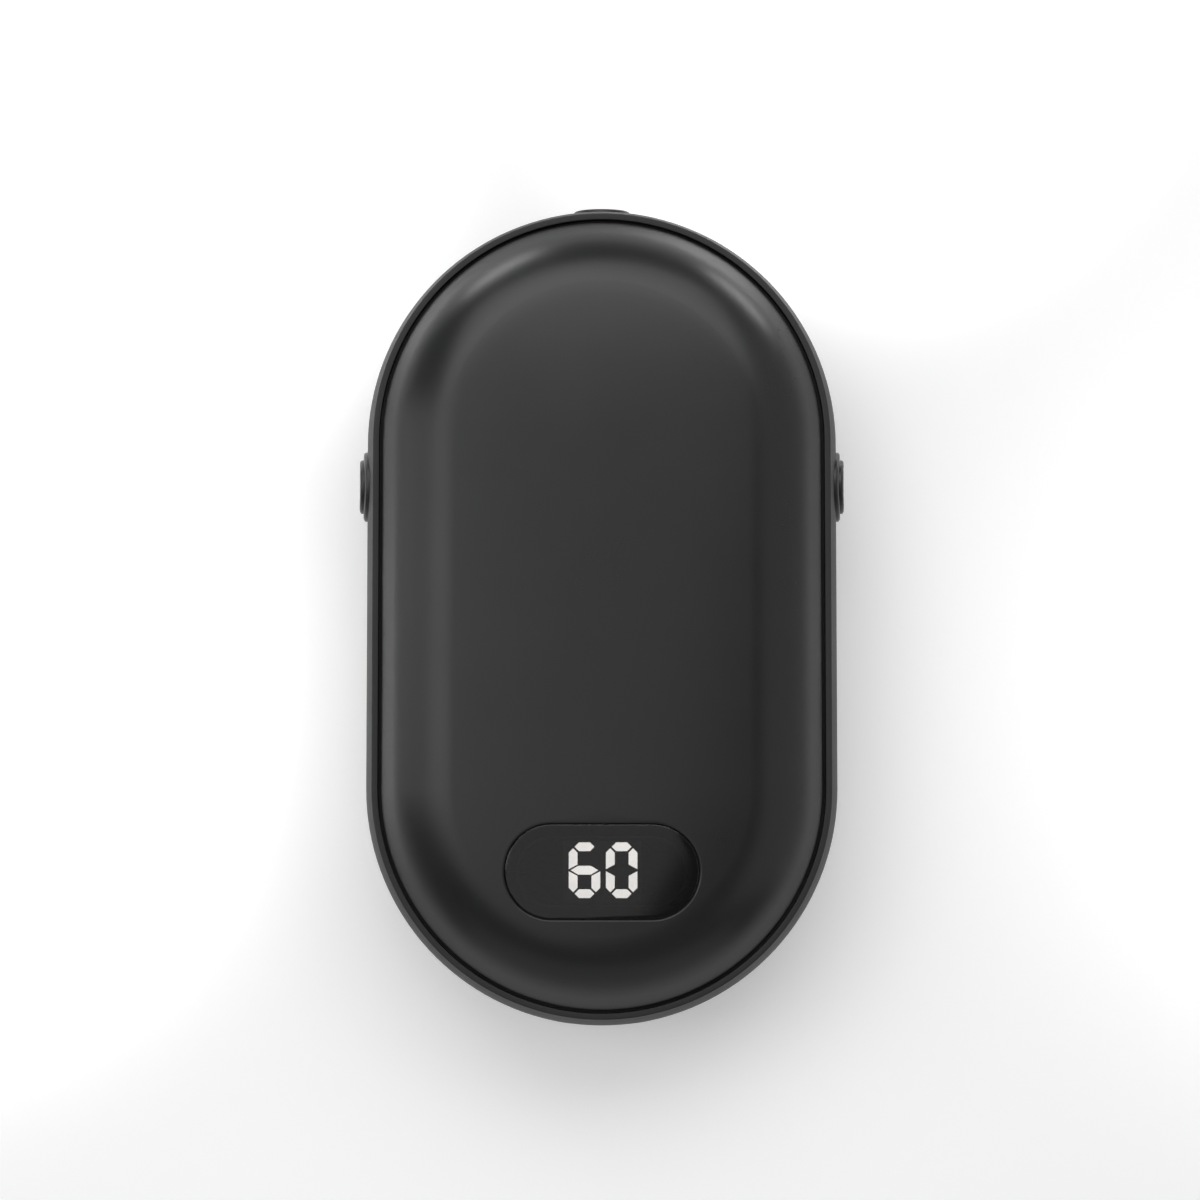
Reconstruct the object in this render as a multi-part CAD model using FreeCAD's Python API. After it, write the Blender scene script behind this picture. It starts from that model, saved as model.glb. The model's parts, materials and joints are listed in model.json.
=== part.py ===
import FreeCAD, Part
import math
import os

# Rechargeable hand warmer: two snapped covers on a middle frame, three push buttons, a two-digit display,
# and inside them a board, a battery and a heater behind each cover. Lengths are millimetres, angles degrees.
# X is to the right, Y towards the power button, Z from the flat back to the display.
# The origin is the middle of the flat back, which the object lies on.

# Casing
body_length = 104.0
body_width = 60.0
frame_height = 12.7         # between the two rim lips
frame_wall = 2.9
rim_bulge = 1.02            # of the frame's round outer wall past its lips
rim_lip_width = 0.81        # land beside each seam
rim_lip_round = 0.2         # of its outer edge
seam_width = 0.49
seam_depth = 0.95
shoulder_radius = 12.0
shoulder_angle = 62.0       # slope of a cover at its seam
crown_angle = 6.0           # slope of the front crown where the shoulder takes over
cover_wall = 1.8
gasket_thickness = 0.5
gasket_gap = 0.2            # to the seam's outer wall

# Snap lips of the covers
lip_depth = 3.0
lip_thickness = 1.2
lip_clearance = 0.15
snap_depth = 0.35
snap_height = 0.9
snap_crest = 0.3            # flat top of the bead
snap_drop = 2.0             # from the cover's rim land to the middle of the bead
snap_clearance = 0.1

# Display
display_inset = 10.4        # past the centre of the lower end
window_length = 24.1
window_width = 11.75
window_clearance = 0.05
window_recess = 0.08        # below the crown
window_edge_round = 0.2
window_edge_thickness = 0.4  # at its lowest edge
window_ledge = 1.5
module_length = 12.0
module_width = 8.25
module_clearance = 0.25
light_gasket_thickness = 0.6
light_opening_length = 9.6
light_opening_width = 7.6
digit_width = 3.88
digit_height = 6.85
digit_pitch = 4.58
digits_aside = 0.15         # from the middle of the window
digits_up = 0.2
segment_stroke = 1.08
segment_tip_gap = 0.18      # from a pointed end to the corner where two segments' middle lines meet
joint_inner = 0.7           # height of an upright's slanted foot at its inner and outer edge
joint_outer = 0.13
middle_tip = 1.7            # half lengths of the middle segment, at its points and along its edges
middle_flat = 0.79
segment_depth = 1.0

# Buttons
side_button_inset = 5.4     # short of the centre of the upper end
ring_rise = 0.5             # above the frame
ring_flange = 0.3           # of the ring past its neck
ring_neck_wall = 0.56
ring_seat_depth = 1.1       # below the frame's widest line
ring_clearance = 0.05
side_cap_diameter = 6.9
side_cap_rise = 1.0
side_cap_dish = 0.2
power_cap_diameter = 7.24
power_cap_rise = 0.35
power_pip_diameter = 2.0
power_pip_rise = 0.2
cap_clearance = 0.14
cap_edge_round = 0.3
power_cap_edge_round = 0.15
flange_overlap = 0.55       # of a cap's flange behind its hole
flange_thickness = 0.8
flange_gap = 0.1            # behind the wall when at rest
stem_diameter = 2.6
stem_length = 1.3
button_travel = 0.4

# Switches behind the buttons
switch_depth = 3.5
switch_length = 6.0
plunger_diameter = 2.0
plunger_reach = 1.3
plunger_inside = 1.0
plunger_clearance = 0.08

# Main board and what is soldered to it
board_gap = 2.6             # to the frame's inner wall
board_thickness = 1.2
board_tab_width = 13.0
board_tab_gap = 0.3
lip_notch_gap = 0.3         # round what passes through a snap lip
boss_low_inset = 8.0        # short of the centre of the lower end
boss_high_inset = 7.0       # past the centre of the upper end
boss_wall_gap = 5.6         # from a boss's axis to the frame's inner wall
boss_diameter = 5.0
boss_drop = 4.0             # below the mid plane
boss_web = 2.4
boss_web_clearance = 0.2
screw_diameter = 1.8
screw_hole_clearance = 0.2
screw_pilot_clearance = 0.05
screw_length = 5.2
screw_end_gap = 0.4
screw_head_diameter = 3.6
screw_head_height = 1.2
screw_head_chamfer = 0.4
inductor_size = 7.0
inductor_foam_gap = 1.1     # to the front foam
inductor_round = 1.0
inductor_side = 14.5        # from the board's left edge
inductor_inset = 22.0       # short of the centre of the lower end
chip_height = 0.9
control_chip_size = 5.0
control_chip_x = -2.0
control_chip_inset = 4.0    # short of the centre of the upper end
charger_chip_size = 4.0
charger_chip_side = 12.5    # from the board's left edge
charger_chip_inset = 30.0   # short of the centre of the lower end
capacitor_diameter = 5.0
capacitor_foam_gap = 0.4    # to the front foam
capacitor_chamfer = 0.4
capacitor_count = 3
capacitor_gap = 1.0
capacitor_side = 10.5       # from the board's right edge
capacitor_inset = 14.0      # short of the centre of the lower end
transistor_length = 6.0
transistor_width = 5.0
transistor_count = 2
transistor_gap = 2.0
transistor_side = 14.5      # from the board's right edge
transistor_inset = 4.0      # short of the centre of the upper end

# Charging socket
socket_width = 8.94
socket_height = 3.26
socket_depth = 7.35
socket_wall = 0.3
socket_recess = 0.7         # of its mouth inside the frame's end
socket_clearance = 0.15
socket_base_depth = 2.0
tongue_width = 6.7
tongue_thickness = 0.7
tongue_setback = 0.9
port_round = 0.4            # of the edge round the socket's opening

# Heaters
heat_plate_margin = 0.5     # inside the flat of the rear cover
heat_plate_thickness = 0.8
film_margin = 0.5           # inside the heat plate
film_thickness = 0.2
rear_foam_thickness = 1.0
front_foam_thickness = 1.5
front_heater_gap = 6.6      # to the display window
rear_foam_overhang = 2.0    # past the battery's lower end
front_foam_gap = 4.0        # to the front heater's leads
thermistor_length = 2.4
thermistor_width = 1.4
thermistor_height = 0.7
thermistor_pocket_gap = 0.4
thermistor_inset = 2.0      # short of the centre of the upper end
rear_lead_gap = 3.0         # past the battery's leads
front_lead_inset = 11.0     # past the centre of the upper end
heater_lead_diameter = 1.2
heater_lead_spacing = 6.0

# Battery
battery_side_gap = 0.8      # to the bosses beside it
battery_high_gap = 6.1      # to the power switch
battery_low_inset = 4.0     # past the centre of the lower end
battery_round = 2.0
protection_margin = 3.0     # at each end, inside the pouch's width
protection_height = 5.0
protection_thickness = 0.8
battery_lead_diameter = 1.4
battery_lead_spacing = 8.0
battery_lead_run = 2.2
battery_lead_bend = 2.0
battery_pad_thickness = 1.5
battery_pad_margin = 2.0    # at each end, inside the pouch's width
battery_pad_width = 9.0
battery_pad_inset = 14.0    # of a pad's middle from the pouch's end

# Values that follow from the driving dimensions
V = FreeCAD.Vector
ORIGIN = V(0, 0, 0)
X_AXIS = V(1, 0, 0)
Y_AXIS = V(0, 1, 0)
Z_AXIS = V(0, 0, 1)
SIDES = (-1, 1)
past = 1.0                  # how far a cutter runs past the face that it cuts
end_radius = body_width / 2
straight = body_length - body_width
end_y = straight / 2
rim_half = frame_height / 2
lip_base = rim_half - rim_lip_round
rim_bulge_radius = (lip_base ** 2 + rim_bulge ** 2) / (2 * rim_bulge)
bulge_centre = end_radius - rim_bulge_radius
rim_edge = end_radius - rim_bulge
seam_outer = rim_edge - rim_lip_width
cover_edge = seam_outer - seam_width
land = rim_half - seam_depth
ledge = land - gasket_thickness
frame_inner = end_radius - frame_wall
lip_outer = frame_inner - lip_clearance
lip_inner = lip_outer - lip_thickness
lip_end = land - lip_depth
snap_centre = land - snap_drop
slope = math.radians(shoulder_angle)
crown_slope = math.radians(crown_angle)
shoulder_r = cover_edge - shoulder_radius * math.sin(slope)
shoulder_w = lip_base - shoulder_radius * math.cos(slope)
mid_z = shoulder_radius + shoulder_w
crown_r = shoulder_r + shoulder_radius * math.sin(crown_slope)
crown_radius = crown_r / math.sin(crown_slope)
crown_centre_w = shoulder_w + (shoulder_radius - crown_radius) * math.cos(crown_slope)
front_z = mid_z + crown_centre_w + crown_radius
inner_radius = shoulder_radius - cover_wall
inner_w = shoulder_w + inner_radius
board_bottom = mid_z + socket_height / 2
board_top = board_bottom + board_thickness
board_radius = frame_inner - board_gap
display_y = -end_y - display_inset
window_far = math.hypot((window_length - window_width) / 2, display_inset) + window_width / 2
window_drop = crown_radius - math.sqrt(crown_radius ** 2 - window_far ** 2)
window_seat = front_z - window_recess - window_drop - window_edge_thickness
module_top = window_seat - light_gasket_thickness
side_button_y = end_y - side_button_inset
side_bore = side_cap_diameter / 2 + cap_clearance
ring_neck_radius = side_bore + ring_neck_wall
ring_radius = ring_neck_radius + ring_flange
ring_seat = end_radius - ring_seat_depth
flange_face = frame_inner - flange_gap
flange_back = flange_face - flange_thickness
stem_end = flange_back - stem_length
switch_face = stem_end - plunger_reach
switch_back = switch_face - switch_depth
plunger_end = switch_face - plunger_inside
boss_reach = frame_inner - boss_wall_gap
boss_low_y = boss_low_inset - end_y
boss_high_y = end_y + boss_high_inset
boss_high_x = math.sqrt(boss_reach ** 2 - boss_high_inset ** 2)
heat_plate_radius = shoulder_r - heat_plate_margin
film_radius = heat_plate_radius - film_margin
battery_bottom = cover_wall + heat_plate_thickness + film_thickness + rear_foam_thickness
battery_top = board_bottom - battery_pad_thickness
battery_thickness = battery_top - battery_bottom
battery_width = 2 * (boss_high_x - boss_diameter / 2 - battery_side_gap)
battery_low_y = -end_y - battery_low_inset
battery_high_y = end_y + switch_back - battery_high_gap
battery_length = battery_high_y - battery_low_y
battery_centre_y = (battery_high_y + battery_low_y) / 2
battery_lead_y = battery_low_y - protection_thickness - battery_lead_run - battery_lead_bend
rear_lead_y = battery_lead_y - rear_lead_gap
front_lead_y = end_y + front_lead_inset
front_heater_end_y = display_y + window_width / 2 + front_heater_gap
front_foam_face = mid_z + inner_w - heat_plate_thickness - film_thickness - front_foam_thickness
thermistor_y = end_y - thermistor_inset
flange_radius = {
    "side": side_cap_diameter / 2 + flange_overlap,
    "power": power_cap_diameter / 2 + flange_overlap,
}


def export(name, shape):
    """Write one node's shape to its own file."""
    shape.exportStep("parts/" + name + ".step")


def outline(start, steps):
    """Face in the XZ plane from (r, z) points: a step is an end point, or a pair (via, end) for an arc."""
    edges = []
    first = V(start[0], 0, start[1])
    here = first
    for step in steps:
        if isinstance(step[0], tuple):
            via, end = step
            there = V(end[0], 0, end[1])
            edges.append(Part.Arc(here, V(via[0], 0, via[1]), there).toShape())
        else:
            there = V(step[0], 0, step[1])
            edges.append(Part.LineSegment(here, there).toShape())
        here = there
    if not here.isEqual(first, 1e-9):
        edges.append(Part.LineSegment(here, first).toShape())
    return Part.Face(Part.Wire(edges))


def sweep_round(face):
    """Carry a half profile round the stadium: straight along both sides, turned about both ends."""
    low = face.translated(V(0, -end_y, 0))
    high = face.translated(V(0, end_y, 0))
    right = low.extrude(V(0, straight, 0))
    left = right.mirror(ORIGIN, X_AXIS)
    top = high.revolve(V(0, end_y, 0), Z_AXIS, 180)
    bottom = low.revolve(V(0, -end_y, 0), Z_AXIS, -180)
    return right.multiFuse([left, top, bottom]).removeSplitter()


def pill_prism(length, width, z_low, z_high, centre=ORIGIN, axis="X"):
    """Prism with a pill outline, lying along X or Y."""
    radius = width / 2
    half = length / 2 - radius
    points = [V(-half, -radius, 0), V(half, -radius, 0), V(half, radius, 0), V(-half, radius, 0)]
    right_end = Part.Arc(points[1], V(half + radius, 0, 0), points[2])
    left_end = Part.Arc(points[3], V(-half - radius, 0, 0), points[0])
    low_side = Part.LineSegment(points[0], points[1])
    high_side = Part.LineSegment(points[2], points[3])
    face = Part.Face(Part.Wire([side.toShape() for side in (low_side, right_end, high_side, left_end)]))
    if axis == "Y":
        face = face.rotated(ORIGIN, Z_AXIS, 90)
    return face.translated(V(centre.x, centre.y, z_low)).extrude(V(0, 0, z_high - z_low))


def stadium_plate(radius, z_low, z_high):
    """Flat plate that keeps one distance from the casing's spine."""
    return pill_prism(straight + 2 * radius, 2 * radius, z_low, z_high, axis="Y")


def block(size_x, size_y, size_z, centre_x, centre_y, z_low):
    """Box centred in X and Y, standing on z_low."""
    corner = V(centre_x - size_x / 2, centre_y - size_y / 2, z_low)
    return Part.makeBox(size_x, size_y, size_z, corner)


def rod(diameter, z_low, z_high, x, y):
    """Upright cylinder."""
    return Part.makeCylinder(diameter / 2, z_high - z_low, V(x, y, z_low))


def disc(radius, low, high):
    """Cylinder along X between two distances from the casing's spine."""
    return Part.makeCylinder(radius, high - low, V(low, 0, 0), X_AXIS)


def keep_above(shape, y_low):
    """The part of a shape past a line across the casing."""
    reach = body_length * 2
    return shape.common(block(reach, reach, reach, 0, y_low + reach / 2, -reach / 2))


def keep_below(shape, y_high):
    """The part of a shape short of a line across the casing."""
    reach = body_length * 2
    return shape.common(block(reach, reach, reach, 0, y_high - reach / 2, -reach / 2))


def to_button(shape, button):
    """Move a shape made along X, as distances from the spine, to a button's place."""
    if button == "right":
        return shape.translated(V(0, side_button_y, mid_z))
    if button == "left":
        return shape.rotated(ORIGIN, Z_AXIS, 180).translated(V(0, side_button_y, mid_z))
    return shape.rotated(ORIGIN, Z_AXIS, 90).translated(V(0, end_y, mid_z))


def at_angle(centre_r, centre_w, radius, angle):
    """Point on a profile arc, with the angle measured from the face's own axis."""
    return (centre_r + radius * math.sin(angle), centre_w + radius * math.cos(angle))


def cover_shell(crowned):
    """Cover above the mid plane: crown or flat, shoulder, rim land, snap lip and a flat inner face."""
    inner_angle = math.asin((lip_inner - shoulder_r) / inner_radius)
    inner_low = at_angle(shoulder_r, shoulder_w, inner_radius, inner_angle)
    inner_via = at_angle(shoulder_r, shoulder_w, inner_radius, inner_angle / 2)
    if crowned:
        start_angle = crown_slope
        middle = (0, crown_centre_w + crown_radius)
        shoulder_start = at_angle(shoulder_r, shoulder_w, shoulder_radius, start_angle)
        top = (at_angle(0, crown_centre_w, crown_radius, crown_slope / 2), shoulder_start)
    else:
        start_angle = 0.0
        middle = (0, shoulder_w + shoulder_radius)
        top = (shoulder_r, shoulder_w + shoulder_radius)
    shoulder_via = at_angle(shoulder_r, shoulder_w, shoulder_radius, (slope + start_angle) / 2)
    shell = sweep_round(outline(middle, [
        top,
        (shoulder_via, (cover_edge, lip_base)),
        (cover_edge, land),
        (lip_outer, land),
        (lip_outer, snap_centre + snap_height / 2),
        (lip_outer + snap_depth, snap_centre + snap_crest / 2),
        (lip_outer + snap_depth, snap_centre - snap_crest / 2),
        (lip_outer, snap_centre - snap_height / 2),
        (lip_outer, lip_end),
        (lip_inner, lip_end),
        inner_low,
        (inner_via, (shoulder_r, inner_w)),
        (0, inner_w),
    ]))
    return shell.cut(lip_notches())


def lip_notches():
    """Cutters that clear the snap lips at the charging socket and the buttons, with the mid plane at zero."""
    port = port_prism(socket_width + 2 * lip_notch_gap, socket_height + 2 * lip_notch_gap,
                      lip_inner - past, frame_inner + snap_depth)
    notches = [port.translated(V(0, 0, -mid_z))]
    for button in ("left", "right", "power"):
        kind = "power" if button == "power" else "side"
        notch = disc(flange_radius[kind] + lip_notch_gap, lip_inner - past, frame_inner + snap_depth)
        notches.append(to_button(notch, button).translated(V(0, 0, -mid_z)))
    return notches


def make_front_cover():
    """Crowned cover with a pocket and a ledge for the display window."""
    place = V(0, display_y, 0)
    shell = cover_shell(True).translated(V(0, 0, mid_z))
    opening_length = window_length - 2 * window_ledge
    opening_width = window_width - 2 * window_ledge
    pocket_length = window_length + 2 * window_clearance
    pocket_width = window_width + 2 * window_clearance
    opening = pill_prism(opening_length, opening_width, mid_z, front_z, place)
    pocket = pill_prism(pocket_length, pocket_width, window_seat, front_z + past, place)
    return shell.cut([opening, pocket, tab_slot()]).removeSplitter()


def tab_slot():
    """Cutter for the front cover's snap lip where the board's socket tab passes through it."""
    low = mid_z + lip_end - past
    high = board_top + lip_notch_gap
    depth = lip_thickness + snap_depth + 2 * past
    middle_y = -end_y - lip_inner + past - depth / 2
    return block(board_tab_width + 2 * lip_notch_gap, depth, high - low, 0, middle_y, low)


def make_rear_cover():
    """Flat-backed cover: the same shell turned over."""
    return cover_shell(False).mirror(ORIGIN, Z_AXIS).translated(V(0, 0, mid_z))


def make_gasket():
    """Flat ring on the frame's front ledge, about the mid plane at zero height."""
    outer = seam_outer - gasket_gap
    return sweep_round(outline((frame_inner, ledge), [(outer, ledge), (outer, land), (frame_inner, land)]))


def boss_places():
    """Board bosses: (x, y, direction outwards), each at one distance from the spine."""
    places = []
    for y in (boss_low_y, boss_high_y):
        past_end = max(abs(y) - end_y, 0)
        x = math.sqrt(boss_reach ** 2 - past_end ** 2)
        lean = math.copysign(math.degrees(math.asin(past_end / boss_reach)), y)
        places.append((x, y, lean))
        places.append((-x, y, 180 - lean))
    return places


def make_bosses():
    """Bosses under the board, each held to the frame's wall by a web."""
    solids = []
    web_low = mid_z - lip_end + boss_web_clearance
    for x, y, direction in boss_places():
        solids.append(rod(boss_diameter, mid_z - boss_drop, board_bottom, x, y))
        length = frame_inner + frame_wall / 2 - boss_reach
        web = block(length, boss_web, board_bottom - web_low, length / 2, 0, web_low)
        solids.append(web.rotated(ORIGIN, Z_AXIS, direction).translated(V(x, y, 0)))
    return solids


def make_middle_frame():
    """Rounded rim with gasket ledges and snap grooves, button holes, charging port and board bosses."""
    groove = lip_outer + snap_depth + snap_clearance
    groove_half = snap_height / 2 + snap_clearance
    round_start = rim_edge - rim_lip_round
    nip = rim_lip_round * (1 - math.sqrt(0.5))
    upper = [
        (rim_edge, lip_base),
        ((rim_edge - nip, rim_half - nip), (round_start, rim_half)),
        (seam_outer, rim_half),
        (seam_outer, ledge),
        (frame_inner, ledge),
        (frame_inner, snap_centre + groove_half),
        (groove, snap_centre + groove_half),
        (groove, snap_centre - groove_half),
        (frame_inner, snap_centre - groove_half),
    ]
    lower = [
        (frame_inner, -snap_centre + groove_half),
        (groove, -snap_centre + groove_half),
        (groove, -snap_centre - groove_half),
        (frame_inner, -snap_centre - groove_half),
        (frame_inner, -ledge),
        (seam_outer, -ledge),
        (seam_outer, -rim_half),
        (round_start, -rim_half),
        ((rim_edge - nip, nip - rim_half), (rim_edge, -lip_base)),
    ]
    bulge = ((end_radius, 0), upper[0])
    ring = sweep_round(outline((rim_edge, -lip_base), [bulge] + upper[1:] + lower))
    frame = ring.translated(V(0, 0, mid_z)).multiFuse(make_bosses())
    cuts = []
    for x, y, _ in boss_places():
        pilot = screw_diameter + 2 * screw_pilot_clearance
        cuts.append(rod(pilot, board_top - screw_length - screw_end_gap, board_bottom, x, y))
    for button in ("left", "right"):
        counterbore = disc(ring_radius + ring_clearance, ring_seat, end_radius + past)
        hole = disc(ring_neck_radius + ring_clearance, lip_inner, end_radius)
        cuts += [to_button(counterbore, button), to_button(hole, button)]
    power_hole = disc(power_cap_diameter / 2 + cap_clearance, lip_inner, end_radius + past)
    spot_face = disc(flange_radius["power"] + snap_clearance, lip_inner, frame_inner)
    cuts += [to_button(power_hole, "power"), to_button(spot_face, "power")]
    port_width = socket_width + 2 * socket_clearance
    port_height = socket_height + 2 * socket_clearance
    mouth = port_prism(port_width, port_height, frame_inner - past, end_radius + past)
    frame = frame.cut(cuts + [mouth]).removeSplitter()
    outside = port_prism(port_width + past, port_height + past, ring_seat, end_radius + past)
    mouth_edges = [edge for edge in frame.Edges if outside.isInside(edge.CenterOfMass, 0, True)]
    return frame.makeFillet(port_round, mouth_edges)


def port_prism(width, height, low, high):
    """Pill-shaped prism along -Y at the charging port, between two distances from the spine's lower end."""
    prism = pill_prism(width, height, low, high)
    return prism.rotated(ORIGIN, X_AXIS, 90).translated(V(0, -end_y, mid_z))


def rim_slab(rise):
    """Solid under the frame's bulge raised by a height, past the side buttons, along Y."""
    length = ring_radius * 4
    return Part.makeCylinder(rim_bulge_radius + rise, length, V(bulge_centre, -length / 2, 0), Y_AXIS)


def rounded_rim(shape, radius):
    """Round the edge where a pad's wall meets its face: the one edge that lies off the pad's base plane."""
    base = shape.BoundBox.XMin
    edges = [edge for edge in shape.Edges if edge.BoundBox.XMin > base + radius]
    return shape.makeFillet(radius, edges)


def make_button_ring():
    """Ring with a neck through the frame: its face follows the frame's bulge."""
    flange = disc(ring_radius, ring_seat, end_radius + ring_rise + past).common(rim_slab(ring_rise))
    flange = rounded_rim(flange, cap_edge_round)
    neck = disc(ring_neck_radius, frame_inner, ring_seat)
    hole = disc(side_bore, frame_inner - past, end_radius + ring_rise + past)
    return flange.fuse(neck).cut(hole).removeSplitter()


def cap_back(kind, cap_radius):
    """Inner half of a cap: shank behind its face, flange that holds it in and stem on the switch plunger."""
    shank = disc(cap_radius, flange_face, ring_seat)
    flange = disc(flange_radius[kind], flange_back, flange_face)
    stem = disc(stem_diameter / 2, stem_end, flange_back)
    return [shank, flange, stem]


def make_side_cap():
    """Round cap whose face follows the frame's bulge and is dished for a fingertip."""
    radius = side_cap_diameter / 2
    head = disc(radius, ring_seat, end_radius + side_cap_rise + past).common(rim_slab(side_cap_rise))
    head = rounded_rim(head, cap_edge_round)
    dish_half = radius - 2 * cap_edge_round
    dish_radius = (dish_half ** 2 + side_cap_dish ** 2) / (2 * side_cap_dish)
    dish_centre = end_radius + side_cap_rise - side_cap_dish + dish_radius
    head = head.cut(Part.makeSphere(dish_radius, V(dish_centre, 0, 0)))
    return head.multiFuse(cap_back("side", radius)).removeSplitter()


def make_power_cap():
    """Low round cap on the end: its face follows the frame's rounded end, with a pip in the middle."""
    radius = power_cap_diameter / 2
    face_radius = rim_bulge_radius + power_cap_rise
    half = lip_base
    edge = bulge_centre + math.sqrt(face_radius ** 2 - half ** 2)
    bulge = ((end_radius + power_cap_rise, 0), (edge, half))
    slab_face = outline((0, -half), [(edge, -half), bulge, (0, half)])
    slab = slab_face.revolve(ORIGIN, Z_AXIS, 180).rotated(ORIGIN, Z_AXIS, -90)
    head = disc(radius, ring_seat, end_radius + power_cap_rise + past).common(slab)
    head = rounded_rim(head, power_cap_edge_round)
    pip_half = power_pip_diameter / 2
    pip_radius = (pip_half ** 2 + power_pip_rise ** 2) / (2 * power_pip_rise)
    pip_centre = end_radius + power_cap_rise + power_pip_rise - pip_radius
    pip_end = end_radius + power_cap_rise + power_pip_rise + past
    pip = Part.makeSphere(pip_radius, V(pip_centre, 0, 0)).common(disc(pip_half, end_radius, pip_end))
    return head.multiFuse(cap_back("power", radius) + [pip]).removeSplitter()


def make_switch_body():
    """Side-push switch under the board's edge, with a well for its plunger."""
    middle = switch_back + switch_depth / 2
    body = block(switch_depth, switch_length, socket_height, middle, 0, -socket_height / 2)
    well_end = plunger_end - button_travel - plunger_clearance
    return body.cut(disc(plunger_diameter / 2 + plunger_clearance, well_end, switch_face + past))


def make_plunger():
    """Switch plunger, from inside its body to the cap's stem."""
    return disc(plunger_diameter / 2, plunger_end, stem_end)


def segment_shapes():
    """The seven segments of a digit about its centre: pointed bars, and uprights with slanted feet."""
    half_w = digit_width / 2
    half_h = digit_height / 2
    half_stroke = segment_stroke / 2
    line_x = half_w - half_stroke
    line_y = half_h - half_stroke
    tip_x = line_x - segment_tip_gap
    tip_y = line_y - segment_tip_gap
    flat_x = tip_x - half_stroke
    top_half = [(flat_x, half_h), (tip_x, line_y), (flat_x, half_h - segment_stroke)]
    top = top_half + [(-x, y) for x, y in reversed(top_half)]
    upper_right = [
        (line_x, tip_y),
        (half_w, tip_y - half_stroke),
        (half_w, joint_outer),
        (half_w - segment_stroke, joint_inner),
        (half_w - segment_stroke, tip_y - half_stroke),
    ]
    middle_half = [(middle_flat, half_stroke), (middle_tip, 0), (middle_flat, -half_stroke)]
    middle = middle_half + [(-x, y) for x, y in reversed(middle_half)]
    return {
        "top": top,
        "bottom": [(x, -y) for x, y in top],
        "upper_right": upper_right,
        "upper_left": [(-x, y) for x, y in upper_right],
        "lower_right": [(x, -y) for x, y in upper_right],
        "lower_left": [(-x, -y) for x, y in upper_right],
        "middle": middle,
    }


def make_segments():
    """Segment bars of both digits: the lit ones show a six and a nought, the others stay dark."""
    dark_names = ("upper_right", "middle")
    lit = []
    dark = []
    for place, dark_name in enumerate(dark_names):
        centre_x = digits_aside + (place - 0.5) * digit_pitch
        centre_y = display_y + digits_up
        for name, points in segment_shapes().items():
            corners = [V(centre_x + x, centre_y + y, module_top - segment_depth) for x, y in points]
            face = Part.Face(Part.makePolygon(corners + corners[:1]))
            bar = face.extrude(V(0, 0, segment_depth))
            if name == dark_name:
                dark.append(bar)
            else:
                lit.append(bar)
    return lit, dark


def make_display():
    """Window, light gasket, module and segments of the display."""
    place = V(0, display_y, 0)
    crown_face = front_z - crown_radius - window_recess
    crown_ball = Part.makeSphere(crown_radius, V(0, -end_y, crown_face))
    window = pill_prism(window_length, window_width, window_seat, front_z + past, place).common(crown_ball)
    rim = [edge for edge in window.Edges if edge.BoundBox.ZMin > window_seat + window_edge_round]
    window = window.makeFillet(window_edge_round, rim)
    gasket_length = window_length - 2 * window_ledge - 2 * module_clearance
    gasket_width_here = window_width - 2 * window_ledge - 2 * module_clearance
    gasket = pill_prism(gasket_length, gasket_width_here, module_top, window_seat, place)
    gasket = gasket.cut(block(light_opening_length, light_opening_width, front_z - module_top,
                              0, display_y, module_top))
    lit, dark = make_segments()
    module = block(module_length, module_width, module_top - board_top, 0, display_y, board_top)
    module = module.cut(lit + dark)
    export("display_window", window)
    export("display_gasket", gasket)
    export("display_module", module)
    export("lit_segments", Part.makeCompound(lit))
    export("unlit_segments", Part.makeCompound(dark))


def make_main_board():
    """Board with the casing's outline, a tab for the charging socket and screw holes."""
    tab_length = math.sqrt((frame_inner - board_tab_gap) ** 2 - (board_tab_width / 2) ** 2)
    tab = block(board_tab_width, tab_length, board_thickness, 0, -end_y - tab_length / 2, board_bottom)
    board = stadium_plate(board_radius, board_bottom, board_top).fuse(tab)
    hole = screw_diameter + 2 * screw_hole_clearance
    holes = [rod(hole, board_bottom - past, board_top + past, x, y) for x, y, _ in boss_places()]
    return board.cut(holes).removeSplitter()


def chamfered_top(shape, size):
    """Bevel the edges that lie on a shape's top face."""
    top = shape.BoundBox.ZMax
    edges = [edge for edge in shape.Edges if edge.CenterOfMass.z > top - size]
    return shape.makeChamfer(size, edges)


def make_screws():
    """Screws that hold the board to the frame's bosses."""
    screws = []
    for x, y, _ in boss_places():
        head = rod(screw_head_diameter, board_top, board_top + screw_head_height, x, y)
        shank = rod(screw_diameter, board_top - screw_length, board_top, x, y)
        screws.append(chamfered_top(head, screw_head_chamfer).fuse(shank).removeSplitter())
    return Part.makeCompound(screws)


def make_socket():
    """Charging socket under the board: a pill-shaped metal shell and the tongue on its moulded base."""
    mouth = end_radius - socket_recess
    back = mouth - socket_depth
    inner_width = socket_width - 2 * socket_wall
    inner_height = socket_height - 2 * socket_wall
    shell = port_prism(socket_width, socket_height, back, mouth)
    bore = port_prism(inner_width, inner_height, back - past, mouth + past)
    base = port_prism(inner_width, inner_height, back, back + socket_base_depth)
    tongue_length = mouth - tongue_setback - back
    tongue_y = -end_y - back - tongue_length / 2
    tongue = block(tongue_width, tongue_length, tongue_thickness, 0, tongue_y, mid_z - tongue_thickness / 2)
    export("usb_shell", shell.cut(bore))
    export("usb_tongue", base.fuse(tongue).removeSplitter())


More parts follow.
